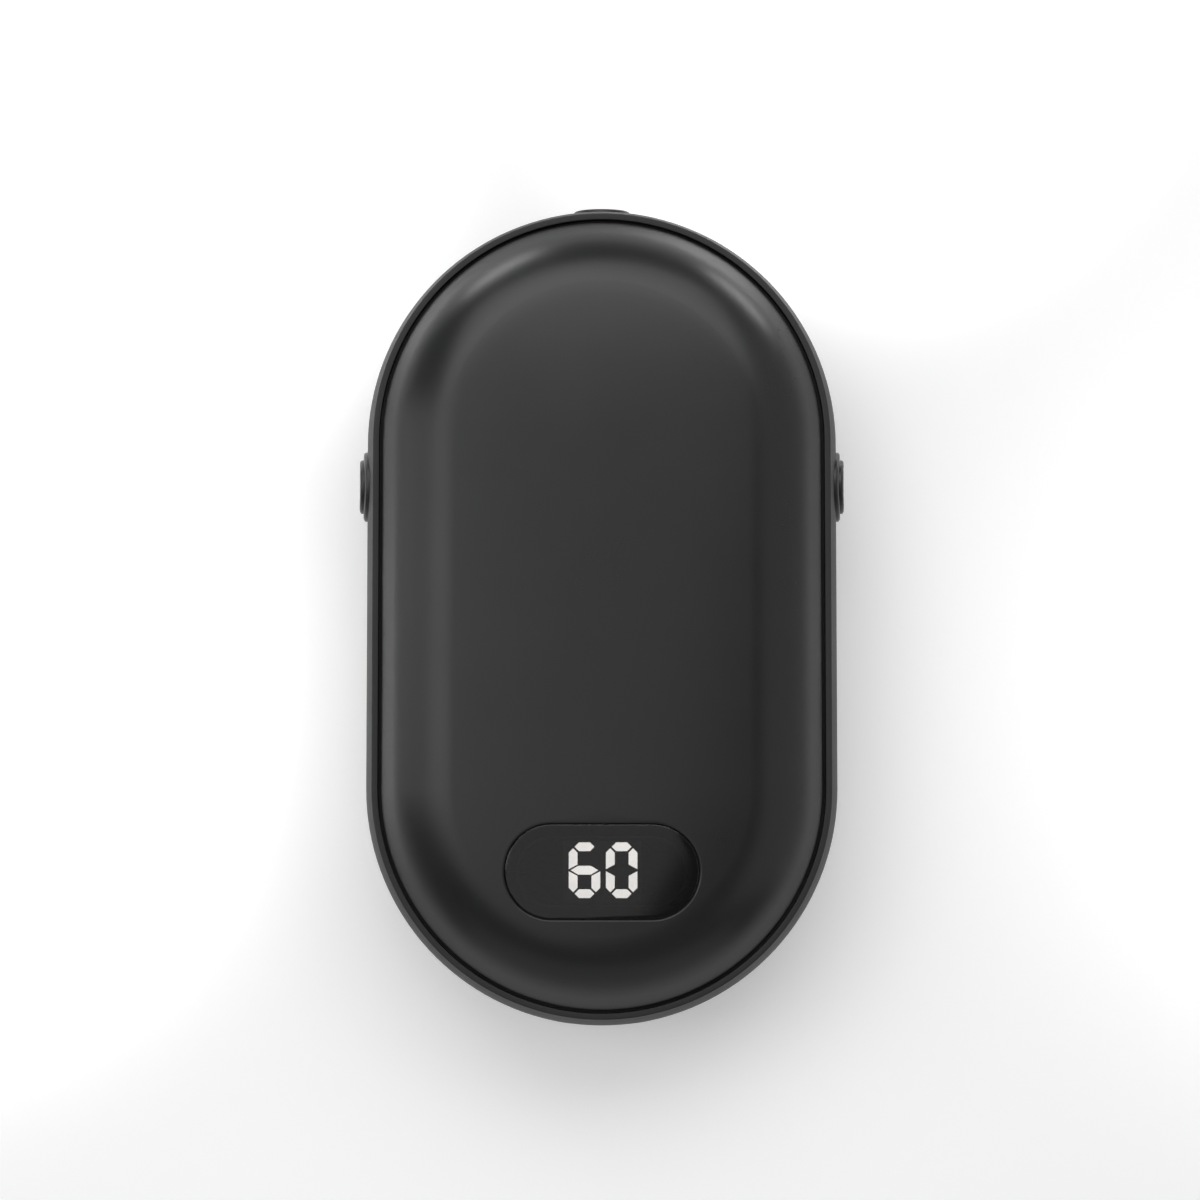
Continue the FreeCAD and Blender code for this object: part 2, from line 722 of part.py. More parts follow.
def make_board_parts():
    """Chips, inductor, capacitors and heater transistors on the board's front."""
    inductor_height = front_foam_face - inductor_foam_gap - board_top
    inductor = block(inductor_size, inductor_size, inductor_height,
                     inductor_side - board_radius, inductor_inset - end_y, board_top)
    inductor = inductor.makeFillet(inductor_round, [edge for edge in inductor.Edges if is_upright(edge)])
    export("power_inductor", inductor)
    export("control_chip", block(control_chip_size, control_chip_size, chip_height,
                                 control_chip_x, end_y - control_chip_inset, board_top))
    export("charger_chip", block(charger_chip_size, charger_chip_size, chip_height,
                                 charger_chip_side - board_radius, charger_chip_inset - end_y, board_top))
    capacitors = []
    capacitor_top = front_foam_face - capacitor_foam_gap
    for place in range(capacitor_count):
        x = board_radius - capacitor_side - place * (capacitor_diameter + capacitor_gap)
        can = rod(capacitor_diameter, board_top, capacitor_top, x, capacitor_inset - end_y)
        capacitors.append(chamfered_top(can, capacitor_chamfer))
    export("capacitors", Part.makeCompound(capacitors))
    transistors = []
    for place in range(transistor_count):
        y = end_y - transistor_inset + place * (transistor_length + transistor_gap)
        transistors.append(block(transistor_width, transistor_length, chip_height,
                                 board_radius - transistor_side, y, board_top))
    export("heater_transistors", Part.makeCompound(transistors))


def is_upright(edge):
    """Whether an edge runs along Z."""
    ends = edge.Vertexes
    return len(ends) == 2 and abs(ends[0].X - ends[1].X) + abs(ends[0].Y - ends[1].Y) < 1e-6


def make_heater(name, face, way, foam_thickness, low_y, foam_low_y, foam_high_y, lead_y, board_face):
    """Heat plate, film, foam and leads from a cover's inner face towards the board: gives its thermistor."""
    plate_face = face + way * heat_plate_thickness
    film_face = plate_face + way * film_thickness
    foam_face = film_face + way * foam_thickness
    plate = stadium_plate(heat_plate_radius, min(face, plate_face), max(face, plate_face))
    export(name + "_heat_plate", keep_above(plate, low_y))
    film = stadium_plate(film_radius, min(plate_face, film_face), max(plate_face, film_face))
    export(name + "_heating_film", keep_above(film, low_y))
    foam_base = min(film_face, foam_face)
    foam = stadium_plate(film_radius, foam_base, foam_base + foam_thickness)
    foam = keep_below(keep_above(foam, foam_low_y), foam_high_y)
    pocket_length = thermistor_length + 2 * thermistor_pocket_gap
    pocket_width = thermistor_width + 2 * thermistor_pocket_gap
    pocket = block(pocket_width, pocket_length, foam_thickness, 0, thermistor_y, foam_base)
    export(name + "_foam", foam.cut(pocket))
    lead_low = min(film_face, board_face)
    lead_high = max(film_face, board_face)
    leads = []
    for side in SIDES:
        x = side * heater_lead_spacing / 2
        leads.append(rod(heater_lead_diameter, lead_low, lead_high, x, lead_y))
    export(name + "_heater_leads", Part.makeCompound(leads))
    bead_base = min(film_face, film_face + way * thermistor_height)
    return block(thermistor_width, thermistor_length, thermistor_height, 0, thermistor_y, bead_base)


def make_heaters():
    """The heaters behind both covers, with a thermistor on each film."""
    end = body_length / 2
    foam_low_y = battery_low_y - rear_foam_overhang
    foam_high_y = front_lead_y - front_foam_gap
    rear_bead = make_heater("rear", cover_wall, 1, rear_foam_thickness, -end, foam_low_y, end,
                            rear_lead_y, board_bottom)
    front_bead = make_heater("front", mid_z + inner_w, -1, front_foam_thickness, front_heater_end_y,
                             front_heater_end_y, foam_high_y, front_lead_y, board_top)
    export("thermistors", Part.makeCompound([rear_bead, front_bead]))


def make_battery():
    """Pouch cell with its protection board, leads up to the main board and foam pads under the board."""
    pouch = block(battery_width, battery_length, battery_thickness, 0, battery_centre_y, battery_bottom)
    pouch = pouch.makeFillet(battery_round, [edge for edge in pouch.Edges if is_upright(edge)])
    board_y = battery_low_y - protection_thickness / 2
    board_low = battery_bottom + (battery_thickness - protection_height) / 2
    protection = block(battery_width - 2 * protection_margin, protection_thickness, protection_height,
                       0, board_y, board_low)
    export("battery_pouch", pouch)
    export("battery_protection_board", protection)
    start_y = battery_low_y - protection_thickness
    lead_z = board_low + protection_height / 2
    bend = battery_lead_bend
    half_turn = math.sqrt(0.5)
    corner_y = start_y - battery_lead_run
    leads = []
    for side in SIDES:
        x = side * battery_lead_spacing / 2
        run_end = V(x, corner_y, lead_z)
        bend_middle = V(x, corner_y - bend * half_turn, lead_z + bend * (1 - half_turn))
        bend_end = V(x, battery_lead_y, lead_z + bend)
        path = Part.Wire([
            Part.LineSegment(V(x, start_y, lead_z), run_end).toShape(),
            Part.Arc(run_end, bend_middle, bend_end).toShape(),
            Part.LineSegment(bend_end, V(x, battery_lead_y, board_bottom)).toShape(),
        ])
        section = Part.Wire(Part.makeCircle(battery_lead_diameter / 2, V(x, start_y, lead_z), Y_AXIS))
        leads.append(path.makePipeShell([section], True, False))
    export("battery_leads", Part.makeCompound(leads))
    pads = []
    pad_length = battery_width - 2 * battery_pad_margin
    for y in (battery_low_y + battery_pad_inset, battery_high_y - battery_pad_inset):
        pads.append(block(pad_length, battery_pad_width, battery_pad_thickness, 0, y, battery_top))
    export("battery_pads", Part.makeCompound(pads))


def make_buttons():
    """Rings, caps, switch bodies and plungers of the three buttons."""
    ring = make_button_ring()
    caps = {"left": make_side_cap(), "power": make_power_cap()}
    caps["right"] = caps["left"]
    for button in ("left", "right"):
        export(button + "_button_ring", to_button(ring, button))
    for button, cap in caps.items():
        export(button + "_button_cap", to_button(cap, button))
        export(button + "_switch_body", to_button(make_switch_body(), button))
        export(button + "_switch_plunger", to_button(make_plunger(), button))


def main():
    os.makedirs("parts", exist_ok=True)
    export("front_cover", make_front_cover())
    export("rear_cover", make_rear_cover())
    export("middle_frame", make_middle_frame())
    gasket = make_gasket()
    export("front_gasket", gasket.translated(V(0, 0, mid_z)))
    export("rear_gasket", gasket.mirror(ORIGIN, Z_AXIS).translated(V(0, 0, mid_z)))
    make_display()
    make_buttons()
    export("main_board", make_main_board())
    export("board_screws", make_screws())
    make_socket()
    make_board_parts()
    make_heaters()
    make_battery()


main()
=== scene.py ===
import json
import math

import bmesh
import bpy
import numpy as np
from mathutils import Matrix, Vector

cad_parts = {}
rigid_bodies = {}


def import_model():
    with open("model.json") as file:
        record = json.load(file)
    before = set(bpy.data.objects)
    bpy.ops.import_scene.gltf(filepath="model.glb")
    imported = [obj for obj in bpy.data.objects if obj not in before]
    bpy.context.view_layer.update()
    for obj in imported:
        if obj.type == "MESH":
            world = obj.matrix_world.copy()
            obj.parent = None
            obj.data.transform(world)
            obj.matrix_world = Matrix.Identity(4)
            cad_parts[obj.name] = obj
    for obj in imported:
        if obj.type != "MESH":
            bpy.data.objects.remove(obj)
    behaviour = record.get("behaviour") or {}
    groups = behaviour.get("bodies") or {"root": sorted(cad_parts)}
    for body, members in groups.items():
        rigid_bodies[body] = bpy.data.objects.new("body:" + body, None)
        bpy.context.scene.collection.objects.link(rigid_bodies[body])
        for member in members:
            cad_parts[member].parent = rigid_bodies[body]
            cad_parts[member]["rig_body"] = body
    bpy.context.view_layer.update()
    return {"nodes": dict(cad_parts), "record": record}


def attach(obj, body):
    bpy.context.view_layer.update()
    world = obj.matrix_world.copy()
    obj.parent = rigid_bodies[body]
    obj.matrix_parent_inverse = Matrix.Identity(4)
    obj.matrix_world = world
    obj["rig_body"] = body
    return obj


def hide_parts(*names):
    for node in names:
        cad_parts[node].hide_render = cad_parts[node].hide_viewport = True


# Rechargeable hand warmer lying on its flat back, seen from above. X is to the right, Y towards the power
# button and Z from the flat back to the display. The sizes of the casing and its pieces are millimetres, as
# the solids have them. Meshes, lamps and the floor are in metres.
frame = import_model()
nodes = frame["nodes"]
SLOT_OF = {part["node"]: part["material_slot"] for part in frame["record"]["subparts"]}
MM = 0.001

# Casing
END_RADIUS = 30.0           # of the outline's round ends
END_Y = 22.0                # their centres
RIM_BULGE = 1.02            # of the frame's round outer wall past its lips
RIM_LIP = 0.81              # land beside each seam
RIM_ROUND = 0.2             # of its outer edge
SEAM = 0.49
RIM_HALF = 6.35             # heights from the mid plane
LIP_BASE = RIM_HALF - RIM_ROUND
LAND = 5.4
LEDGE = 4.9
FRAME_INNER = 27.1          # its inner wall from the spine
INNER_HALF = 4.6            # half the height of that wall's even rows
BULGE_RADIUS = (LIP_BASE ** 2 + RIM_BULGE ** 2) / (2 * RIM_BULGE)
BULGE_CENTRE = END_RADIUS - BULGE_RADIUS
RIM_EDGE = END_RADIUS - RIM_BULGE
SEAM_OUTER = RIM_EDGE - RIM_LIP
COVER_EDGE = SEAM_OUTER - SEAM
SHOULDER_RADIUS = 12.0
SHOULDER_SLOPE = math.radians(62)
SHOULDER_R = COVER_EDGE - SHOULDER_RADIUS * math.sin(SHOULDER_SLOPE)
SHOULDER_W = LIP_BASE - SHOULDER_RADIUS * math.cos(SHOULDER_SLOPE)
MID_Z = SHOULDER_RADIUS + SHOULDER_W
CROWN_SLOPE = math.radians(6)
CROWN_R = SHOULDER_R + SHOULDER_RADIUS * math.sin(CROWN_SLOPE)
CROWN_RADIUS = CROWN_R / math.sin(CROWN_SLOPE)
CROWN_W = SHOULDER_W + (SHOULDER_RADIUS - CROWN_RADIUS) * math.cos(CROWN_SLOPE)
FRONT_Z = MID_Z + CROWN_W + CROWN_RADIUS
COVER_WALL = 1.8
INNER_RADIUS = SHOULDER_RADIUS - COVER_WALL
INNER_W = SHOULDER_W + INNER_RADIUS
SNAP_OUTER = 26.95          # walls of a cover's snap lip from the spine
SNAP_INNER = 25.75
SNAP_END = 2.4              # of the lip from the mid plane
NOTCH_GAP = 0.3             # round a button's flange that passes through the lip
TAB_SLOT_HALF = 6.8         # half width of the slot for the board's tab in the front lip
TAB_SLOT_END = 3.13
SEAM_ROUND = 0.06
EDGE_ROUND = 0.06           # where a cover's shoulder turns into the seam
EDGE_SLOPE = math.radians(50)   # from here the shoulder runs out straight to the seam
MEET_SLOPE = math.radians(10)   # where the front's rays give way to rings round the casing

# Display
DISPLAY_Y = -32.4
WINDOW = (24.1, 11.75)
POCKET = (24.2, 11.85)
OPENING = (21.1, 8.75)
WINDOW_RECESS = 0.08
WINDOW_ROUND = 0.2
POCKET_ROUND = 0.25
WINDOW_EDGE = 0.4           # its thickness at its lowest edge
WINDOW_FAR = math.hypot((WINDOW[0] - WINDOW[1]) / 2, DISPLAY_Y + END_Y) + WINDOW[1] / 2
WINDOW_DROP = CROWN_RADIUS - math.sqrt(CROWN_RADIUS ** 2 - WINDOW_FAR ** 2)
WINDOW_SEAT = FRONT_Z - WINDOW_RECESS - WINDOW_DROP - WINDOW_EDGE

# Buttons and charging port
SIDE_BUTTON_Y = 16.6
SEAT = 28.9                 # of a ring in the frame, from the spine
RING_RADIUS = 4.45
RING_NECK = 4.15
RING_BORE = 3.59
RING_RISE = 0.5
SIDE_CAP_RADIUS = 3.45
SIDE_CAP_RISE = 1.0
DISH_DEPTH = 0.2
DISH_HALF = 2.85
POWER_CAP_RADIUS = 3.62
POWER_CAP_RISE = 0.35
PIP_HALF = 1.0
PIP_RISE = 0.2
CAP_ROUND = 0.3
POWER_CAP_ROUND = 0.15
SIDE_FLANGE = 4.0
POWER_FLANGE = 4.17
FLANGE_FACE = 27.0
FLANGE_BACK = 26.2
STEM_RADIUS = 1.3
STEM_END = 24.9
RING_CLEARANCE = 0.05
CAP_CLEARANCE = 0.14
FLANGE_CLEARANCE = 0.1
HOLE_ROUND = 0.1
DISH_BLEND = 0.03           # of the crease round the dish
PIP_BLEND = 0.02
TIP_ROUND = 0.15            # of a cap's stem
PORT = (9.24, 3.56)
PORT_ROUND = 0.4
SHELL_OUTER = (8.94, 3.26)
SHELL_INNER = (8.34, 2.66)
SHELL_MOUTH = 29.3
SHELL_BACK = 21.95

# Board bosses inside the frame
BOSS_REACH = 21.5           # of their axes from the spine
BOSS_ROWS = (-14.0, 29.0)   # places along the casing
BOSS_RADIUS = 2.5
BOSS_TOP = 1.63             # heights from the mid plane
BOSS_FOOT = -4.0
PILOT_RADIUS = 0.95
PILOT_FLOOR = -2.77
WEB_HALF = 1.2
WEB_FOOT = -2.2
WEB_START = BOSS_REACH + 1.5    # inside the post
WEB_END = 28.55             # inside the frame's wall

# Blocks of the frame's grid that its holes take: along the sides, and in degrees about the ends
SIDE_SPAN = (11.3, 21.9)
POWER_SPAN = (80, 100)
PORT_SPAN = (258, 282)

# Fineness of the grids
RAYS = 480
ARC_STEPS = 32
REGION_STEPS = 16
TURN_STEPS = 96
SHOULDER_STEPS = 39
RUN_OUT_STEPS = 8
INNER_ARC_STEPS = 15
CROWN_STEPS = 47
SPINE_STEPS = 64
FLAT_STEPS = 4
SIDE_STEPS = 8
OUTER_WALL_STEPS = 6
INNER_WALL_STEPS = 4
ROUND_STEPS = 5             # of the small rounds
WINDOW_ROUND_STEPS = 4
LIP_ROUND_STEPS = 6
SEAM_ROUND_STEPS = 3
MOUTH_STEPS = 8
CAP_FACE_STEPS = 24
WINDOW_STEPS = 16
CREASE = math.radians(35)   # edges past this angle are sharp
WELD = 1e-7
TINY = 1e-9                 # keeps a division from zero


def grid_faces(rows, columns, close_rows=False):
    """Corner numbers of a grid's faces: its columns run all the way round, and its rows too if asked."""
    row_count = rows if close_rows else rows - 1
    row, column = np.meshgrid(np.arange(row_count), np.arange(columns), indexing="ij")
    next_row = (row + 1) % rows
    next_column = (column + 1) % columns
    corners = [row * columns + column, row * columns + next_column,
               next_row * columns + next_column, next_row * columns + column]
    return np.stack(corners, axis=-1)


def skin(rows, close_rows=False):
    """Patch over a list of point rings: each face spans two neighbouring rings and two points of each."""
    points = np.stack(rows)
    faces = grid_faces(len(rows), points.shape[1], close_rows)
    return points.reshape(-1, 3), faces.reshape(-1, 4)


def make_piece(name, patches, node, material):
    """One mesh from patches of points and faces, welded where they meet, with its faces outwards.
    It stands for a node, rides on that node's body and takes the material given."""
    counts = [len(points) for points, _ in patches]
    starts = np.cumsum([0] + counts[:-1])
    points = np.concatenate([points for points, _ in patches]) * MM
    faces = np.concatenate([faces + start for (_, faces), start in zip(patches, starts)])
    used, corners = np.unique(faces, return_inverse=True)
    points = points[used]
    faces = corners.reshape(-1, 4)
    mesh = bpy.data.meshes.new(name)
    mesh.from_pydata(points.tolist(), [], faces.tolist())
    weld = bmesh.new()
    weld.from_mesh(mesh)
    bmesh.ops.remove_doubles(weld, verts=weld.verts, dist=WELD)
    bmesh.ops.recalc_face_normals(weld, faces=weld.faces)
    weld.to_mesh(mesh)
    weld.free()
    mesh.shade_smooth()
    mesh.set_sharp_from_angle(angle=CREASE)
    mesh.materials.append(material)
    piece = bpy.data.objects.new(name, mesh)
    bpy.context.scene.collection.objects.link(piece)
    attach(piece, nodes[node]["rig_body"])
    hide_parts(node)


def place_points(x, y, z):
    """Ring of points from its three coordinates, which may be single numbers."""
    return np.stack(np.broadcast_arrays(x, y, z), axis=-1).astype(float)


def spine_distance(x, y):
    """Distance from the casing's spine, the straight line between the centres of its round ends."""
    return np.hypot(x, np.maximum(np.abs(y) - END_Y, 0))


def front_height(x, y):
    """Height of the front cover: the crown's arc near the spine, the shoulder's arc past it."""
    r = spine_distance(x, y)
    crown = CROWN_W + np.sqrt(CROWN_RADIUS ** 2 - r ** 2)
    shoulder = SHOULDER_W + np.sqrt(SHOULDER_RADIUS ** 2 - np.clip(r - SHOULDER_R, 0, SHOULDER_RADIUS) ** 2)
    return MID_Z + np.where(r < CROWN_R, crown, shoulder)


def pill_reach(angle, size):
    """Distance from a pill's middle to its outline: its straight side, or past it the circle of its end."""
    radius = size[1] / 2
    half = size[0] / 2 - radius
    across = np.abs(np.cos(angle))
    up = np.abs(np.sin(angle))
    side = radius / np.maximum(up, TINY)
    end = half * across + np.sqrt(np.maximum(radius ** 2 - (half * up) ** 2, 0))
    return np.where(side * across <= half, side, end)


def casing_reach(angle, radius):
    """Distance from the display's middle to the line at one distance from the spine: its straight sides, or
    the circles about its ends."""
    across = np.cos(angle)
    up = np.sin(angle)
    side = radius / np.maximum(np.abs(across), TINY)
    side_y = DISPLAY_Y + side * up
    centre = np.where(side_y > 0, END_Y, -END_Y) - DISPLAY_Y
    end = centre * up + np.sqrt(np.maximum(radius ** 2 - (centre * across) ** 2, 0))
    return np.where(np.abs(side_y) <= END_Y, side, end)


def stations(x, y):
    """Foot on the spine and direction outwards of points round the casing."""
    foot = np.clip(y, -END_Y, END_Y)
    reach = np.hypot(x, y - foot)
    return foot, x / reach, (y - foot) / reach


def station_ring(station, r, w, side=1):
    """Ring at a distance from the spine and a height above the mid plane, or below it for side -1."""
    foot, out_x, out_y = station
    return place_points(out_x * r, foot + out_y * r, MID_Z + side * w)


def arc_at(angle, radius):
    """Point of a cover's profile on a circle about the shoulder's centre, at a slope."""
    return SHOULDER_R + radius * math.sin(angle), SHOULDER_W + radius * math.cos(angle)


def snap_end(station):
    """End of a cover's snap lip from the mid plane: it steps back round each button's flange."""
    foot, out_x, out_y = station
    x = out_x * SNAP_OUTER
    y = foot + out_y * SNAP_OUTER
    side_notch = np.sqrt(np.maximum((SIDE_FLANGE + NOTCH_GAP) ** 2 - (y - SIDE_BUTTON_Y) ** 2, 0))
    power_notch = np.sqrt(np.maximum((POWER_FLANGE + NOTCH_GAP) ** 2 - x ** 2, 0))
    side_notch = np.where(np.abs(x) > SNAP_INNER / 2, side_notch, 0)
    power_notch = np.where(y > END_Y, power_notch, 0)
    return np.maximum(SNAP_END, np.maximum(side_notch, power_notch))


def shoulder_rings(station, start, lip, side):
    """Rings from a cover's shoulder to its inner face: shoulder arc, straight run-out, rounded edge, seam
    wall, land, snap lip and the inner arc back to the shoulder's centre line."""
    rings = []
    for angle in np.linspace(start, EDGE_SLOPE, SHOULDER_STEPS + 1):
        rings.append(station_ring(station, *arc_at(angle, SHOULDER_RADIUS), side))
    arc_end = np.array(arc_at(EDGE_SLOPE, SHOULDER_RADIUS))
    corner = np.array([COVER_EDGE, arc_end[1] - (COVER_EDGE - arc_end[0]) * math.tan(EDGE_SLOPE)])
    first = corner + EDGE_ROUND * np.array([-math.cos(EDGE_SLOPE), math.sin(EDGE_SLOPE)])
    last = corner - [0, EDGE_ROUND]
    for part in np.linspace(0, 1, RUN_OUT_STEPS + 1)[1:]:
        r, w = arc_end + (first - arc_end) * part
        rings.append(station_ring(station, r, w, side))
    for step in np.linspace(0, 1, ROUND_STEPS + 1)[1:]:
        r, w = (1 - step) ** 2 * first + 2 * step * (1 - step) * corner + step ** 2 * last
        rings.append(station_ring(station, r, w, side))
    for r, w in ((COVER_EDGE, LAND), (SNAP_OUTER, LAND), (SNAP_OUTER, lip), (SNAP_INNER, lip)):
        rings.append(station_ring(station, r, w, side))
    inner_slope = math.asin((SNAP_INNER - SHOULDER_R) / INNER_RADIUS)
    for angle in np.linspace(inner_slope, 0, INNER_ARC_STEPS + 1):
        rings.append(station_ring(station, *arc_at(angle, INNER_RADIUS), side))
    return rings


def front_cover_patch():
    """Front cover as rings about the display's middle: the opening and the window's pocket with its rounded
    rim, the crown along rays to one line round the casing, then the shoulder and the inside back to the
    opening."""
    angle = np.linspace(0, 2 * math.pi, RAYS, endpoint=False)
    across = np.cos(angle)
    up = np.sin(angle)

    def ray(reach, z):
        return place_points(across * reach, DISPLAY_Y + up * reach, z)

    def on_front(reach, drop=0.0):
        return ray(reach, front_height(across * reach, DISPLAY_Y + up * reach) - drop)

    opening = pill_reach(angle, OPENING)
    pocket = pill_reach(angle, POCKET)
    rings = [ray(opening, MID_Z + INNER_W), ray(opening, WINDOW_SEAT), ray(pocket, WINDOW_SEAT)]
    for turn in np.linspace(0, math.pi / 2, WINDOW_ROUND_STEPS + 1):
        grow = 2 * POCKET_ROUND * (1 - math.cos(turn))
        rim = pill_reach(angle, (POCKET[0] + grow, POCKET[1] + grow))
        rings.append(on_front(rim, POCKET_ROUND * (1 - math.sin(turn))))
    meet = casing_reach(angle, SHOULDER_R + SHOULDER_RADIUS * math.sin(MEET_SLOPE))
    for step in np.linspace(0, 1, CROWN_STEPS + 1)[1:-1]:
        rings.append(on_front(rim + (meet - rim) * step))
    station = stations(across * meet, DISPLAY_Y + up * meet)
    tab_slot = (np.abs(station[1] * SNAP_OUTER) < TAB_SLOT_HALF) & (station[2] < 0)
    lip = np.where(tab_slot, TAB_SLOT_END, snap_end(station))
    rings += shoulder_rings(station, MEET_SLOPE, lip, 1)
    return skin(rings, close_rows=True)


def round_stations(marks):
    """Stations all the way round: along both sides at the given places, and in even steps about both ends."""
    turn = np.linspace(0, math.pi, 2 * ARC_STEPS + 1)[1:-1]
    ones = np.ones_like(marks)
    foot = np.concatenate([marks, np.full_like(turn, END_Y), marks[::-1], np.full_like(turn, -END_Y)])
    out_x = np.concatenate([ones, np.cos(turn), -ones, -np.cos(turn)])
    out_y = np.concatenate([0 * ones, np.sin(turn), 0 * ones, -np.sin(turn)])
    return foot, out_x, out_y


def rear_cover_patch():
    """Rear cover as rings about the spine: the flat back from the spine out, the shoulder, the inside and the
    inner flat back to the spine, where both sides of a ring close on each other."""
    station = round_stations(np.linspace(-END_Y, END_Y, SPINE_STEPS + 1))
    flat_w = SHOULDER_W + SHOULDER_RADIUS
    rings = [station_ring(station, r, flat_w, -1) for r in np.linspace(0, SHOULDER_R, FLAT_STEPS + 1)[:-1]]
    rings += shoulder_rings(station, 0.0, snap_end(station), -1)
    rings.append(station_ring(station, 0.0, INNER_W, -1))
    return skin(rings)


def bulge(w, rise=0.0):
    """Distance from the spine of the frame's round outer wall, or of a face raised over it."""
    return BULGE_CENTRE + np.sqrt((BULGE_RADIUS + rise) ** 2 - w ** 2)


def outer_depth(place, t, w, rise=0.0):
    """Distance of that wall or face along a hole's own axis: straight at the sides, turned about the ends."""
    reach = bulge(w, rise)
    if place in ("left", "right"):
        return reach
    return np.sqrt(reach ** 2 - t ** 2)


def inner_depth(place, t):
    """Distance of the frame's inner wall along a hole's axis."""
    if place in ("left", "right"):
        return FRAME_INNER
    return np.sqrt(FRAME_INNER ** 2 - t ** 2)


def at_hole(place, t, d, w):
    """Points from their distances across, out along and above a hole's axis."""
    if place in ("left", "right"):
        way = 1 if place == "right" else -1
        return place_points(way * d, SIDE_BUTTON_Y + t, MID_Z + w)
    way = 1 if place == "power" else -1
    return place_points(t, way * (END_Y + d), MID_Z + w)


def from_hole(place, points):
    """Distance across and height of points from a hole's axis."""
    t = points[:, 1] - SIDE_BUTTON_Y if place in ("left", "right") else points[:, 0]
    return t, points[:, 2] - MID_Z


def loop_round(grid, rows, columns):
    """Border of a block of a grid, once round."""
    block = grid[np.ix_(rows, columns)]
    return np.concatenate([block[0, :-1], block[:-1, -1], block[-1, :0:-1], block[:0:-1, 0]])


def hole_patch(place, outer_loop, inner_loop):
    """Wall round a hole: rings from the outer border in to the hole's rounded edge, down its steps, and out
    again on the inner wall to the inner border. Every ring keeps the border's directions from the axis."""
    outer_t, outer_w = from_hole(place, outer_loop)
    inner_t, inner_w = from_hole(place, inner_loop)
    angle = np.arctan2(outer_w, outer_t)
    edge_round = PORT_ROUND if place == "port" else HOLE_ROUND
    if place == "port":
        bores = [(PORT, None)]
    elif place == "power":
        spot = 2 * (POWER_FLANGE + FLANGE_CLEARANCE)
        hole = 2 * (POWER_CAP_RADIUS + CAP_CLEARANCE)
        bores = [((hole, hole), FRAME_INNER), ((spot, spot), None)]
    else:
        counterbore = 2 * (RING_RADIUS + RING_CLEARANCE)
        neck = 2 * (RING_NECK + RING_CLEARANCE)
        bores = [((counterbore, counterbore), SEAT), ((neck, neck), None)]

    def outline(size):
        reach = pill_reach(angle, size)
        return reach * np.cos(angle), reach * np.sin(angle)

    rings = []
    mouth = bores[0][0]
    rim_t, rim_w = outline((mouth[0] + 2 * edge_round, mouth[1] + 2 * edge_round))
    for step in np.linspace(0, 1, OUTER_WALL_STEPS + 1)[:-1]:
        t = outer_t + (rim_t - outer_t) * step
        w = outer_w + (rim_w - outer_w) * step
        rings.append(at_hole(place, t, outer_depth(place, t, w), w))
    for turn in np.linspace(math.pi / 2, 0, ROUND_STEPS + 1):
        grow = 2 * edge_round * (1 - math.cos(turn))
        t, w = outline((mouth[0] + grow, mouth[1] + grow))
        rings.append(at_hole(place, t, outer_depth(place, t, w) - edge_round * (1 - math.sin(turn)), w))
    top = None
    for size, floor in bores:
        t, w = outline(size)
        if top is not None:
            rings.append(at_hole(place, t, top, w))
        rings.append(at_hole(place, t, inner_depth(place, t) if floor is None else floor, w))
        top = floor
    for step in np.linspace(0, 1, INNER_WALL_STEPS + 1)[1:]:
        here_t = t + (inner_t - t) * step
        here_w = w + (inner_w - w) * step
        rings.append(at_hole(place, here_t, inner_depth(place, here_t), here_w))
    return skin(rings)


def frame_stations():
    """Stations round the frame, close together across each hole, and the columns that each hole takes."""
    side = np.concatenate([
        np.linspace(-END_Y, SIDE_SPAN[0], SIDE_STEPS + 1)[:-1],
        np.linspace(*SIDE_SPAN, REGION_STEPS + 1),
    ])
    top = np.radians(np.concatenate([
        np.linspace(0, POWER_SPAN[0], ARC_STEPS)[:-1],
        np.linspace(*POWER_SPAN, REGION_STEPS + 1),
        np.linspace(POWER_SPAN[1], 180, ARC_STEPS)[1:],
    ]))
    bottom = np.radians(np.concatenate([
        np.linspace(180, PORT_SPAN[0], ARC_STEPS)[:-1],
        np.linspace(*PORT_SPAN, REGION_STEPS + 1),
        np.linspace(PORT_SPAN[1], 360, ARC_STEPS)[1:-1],
    ]))
    ones = np.ones_like(side)
    left_side = side[:0:-1]
    foot = np.concatenate([side, np.full_like(top, END_Y), left_side, np.full_like(bottom, -END_Y)])
    out_x = np.concatenate([ones, np.cos(top), -ones[1:], np.cos(bottom)])
    out_y = np.concatenate([0 * ones, np.sin(top), 0 * ones[1:], np.sin(bottom)])
    span = np.arange(REGION_STEPS + 1)
    top_start = len(side)
    left_start = top_start + len(top)
    bottom_start = left_start + len(left_side)
    columns = {
        "right": SIDE_STEPS + span,
        "power": top_start + ARC_STEPS - 1 + span,
        "left": left_start + span,
        "port": bottom_start + ARC_STEPS - 1 + span,
    }
    return (foot, out_x, out_y), columns


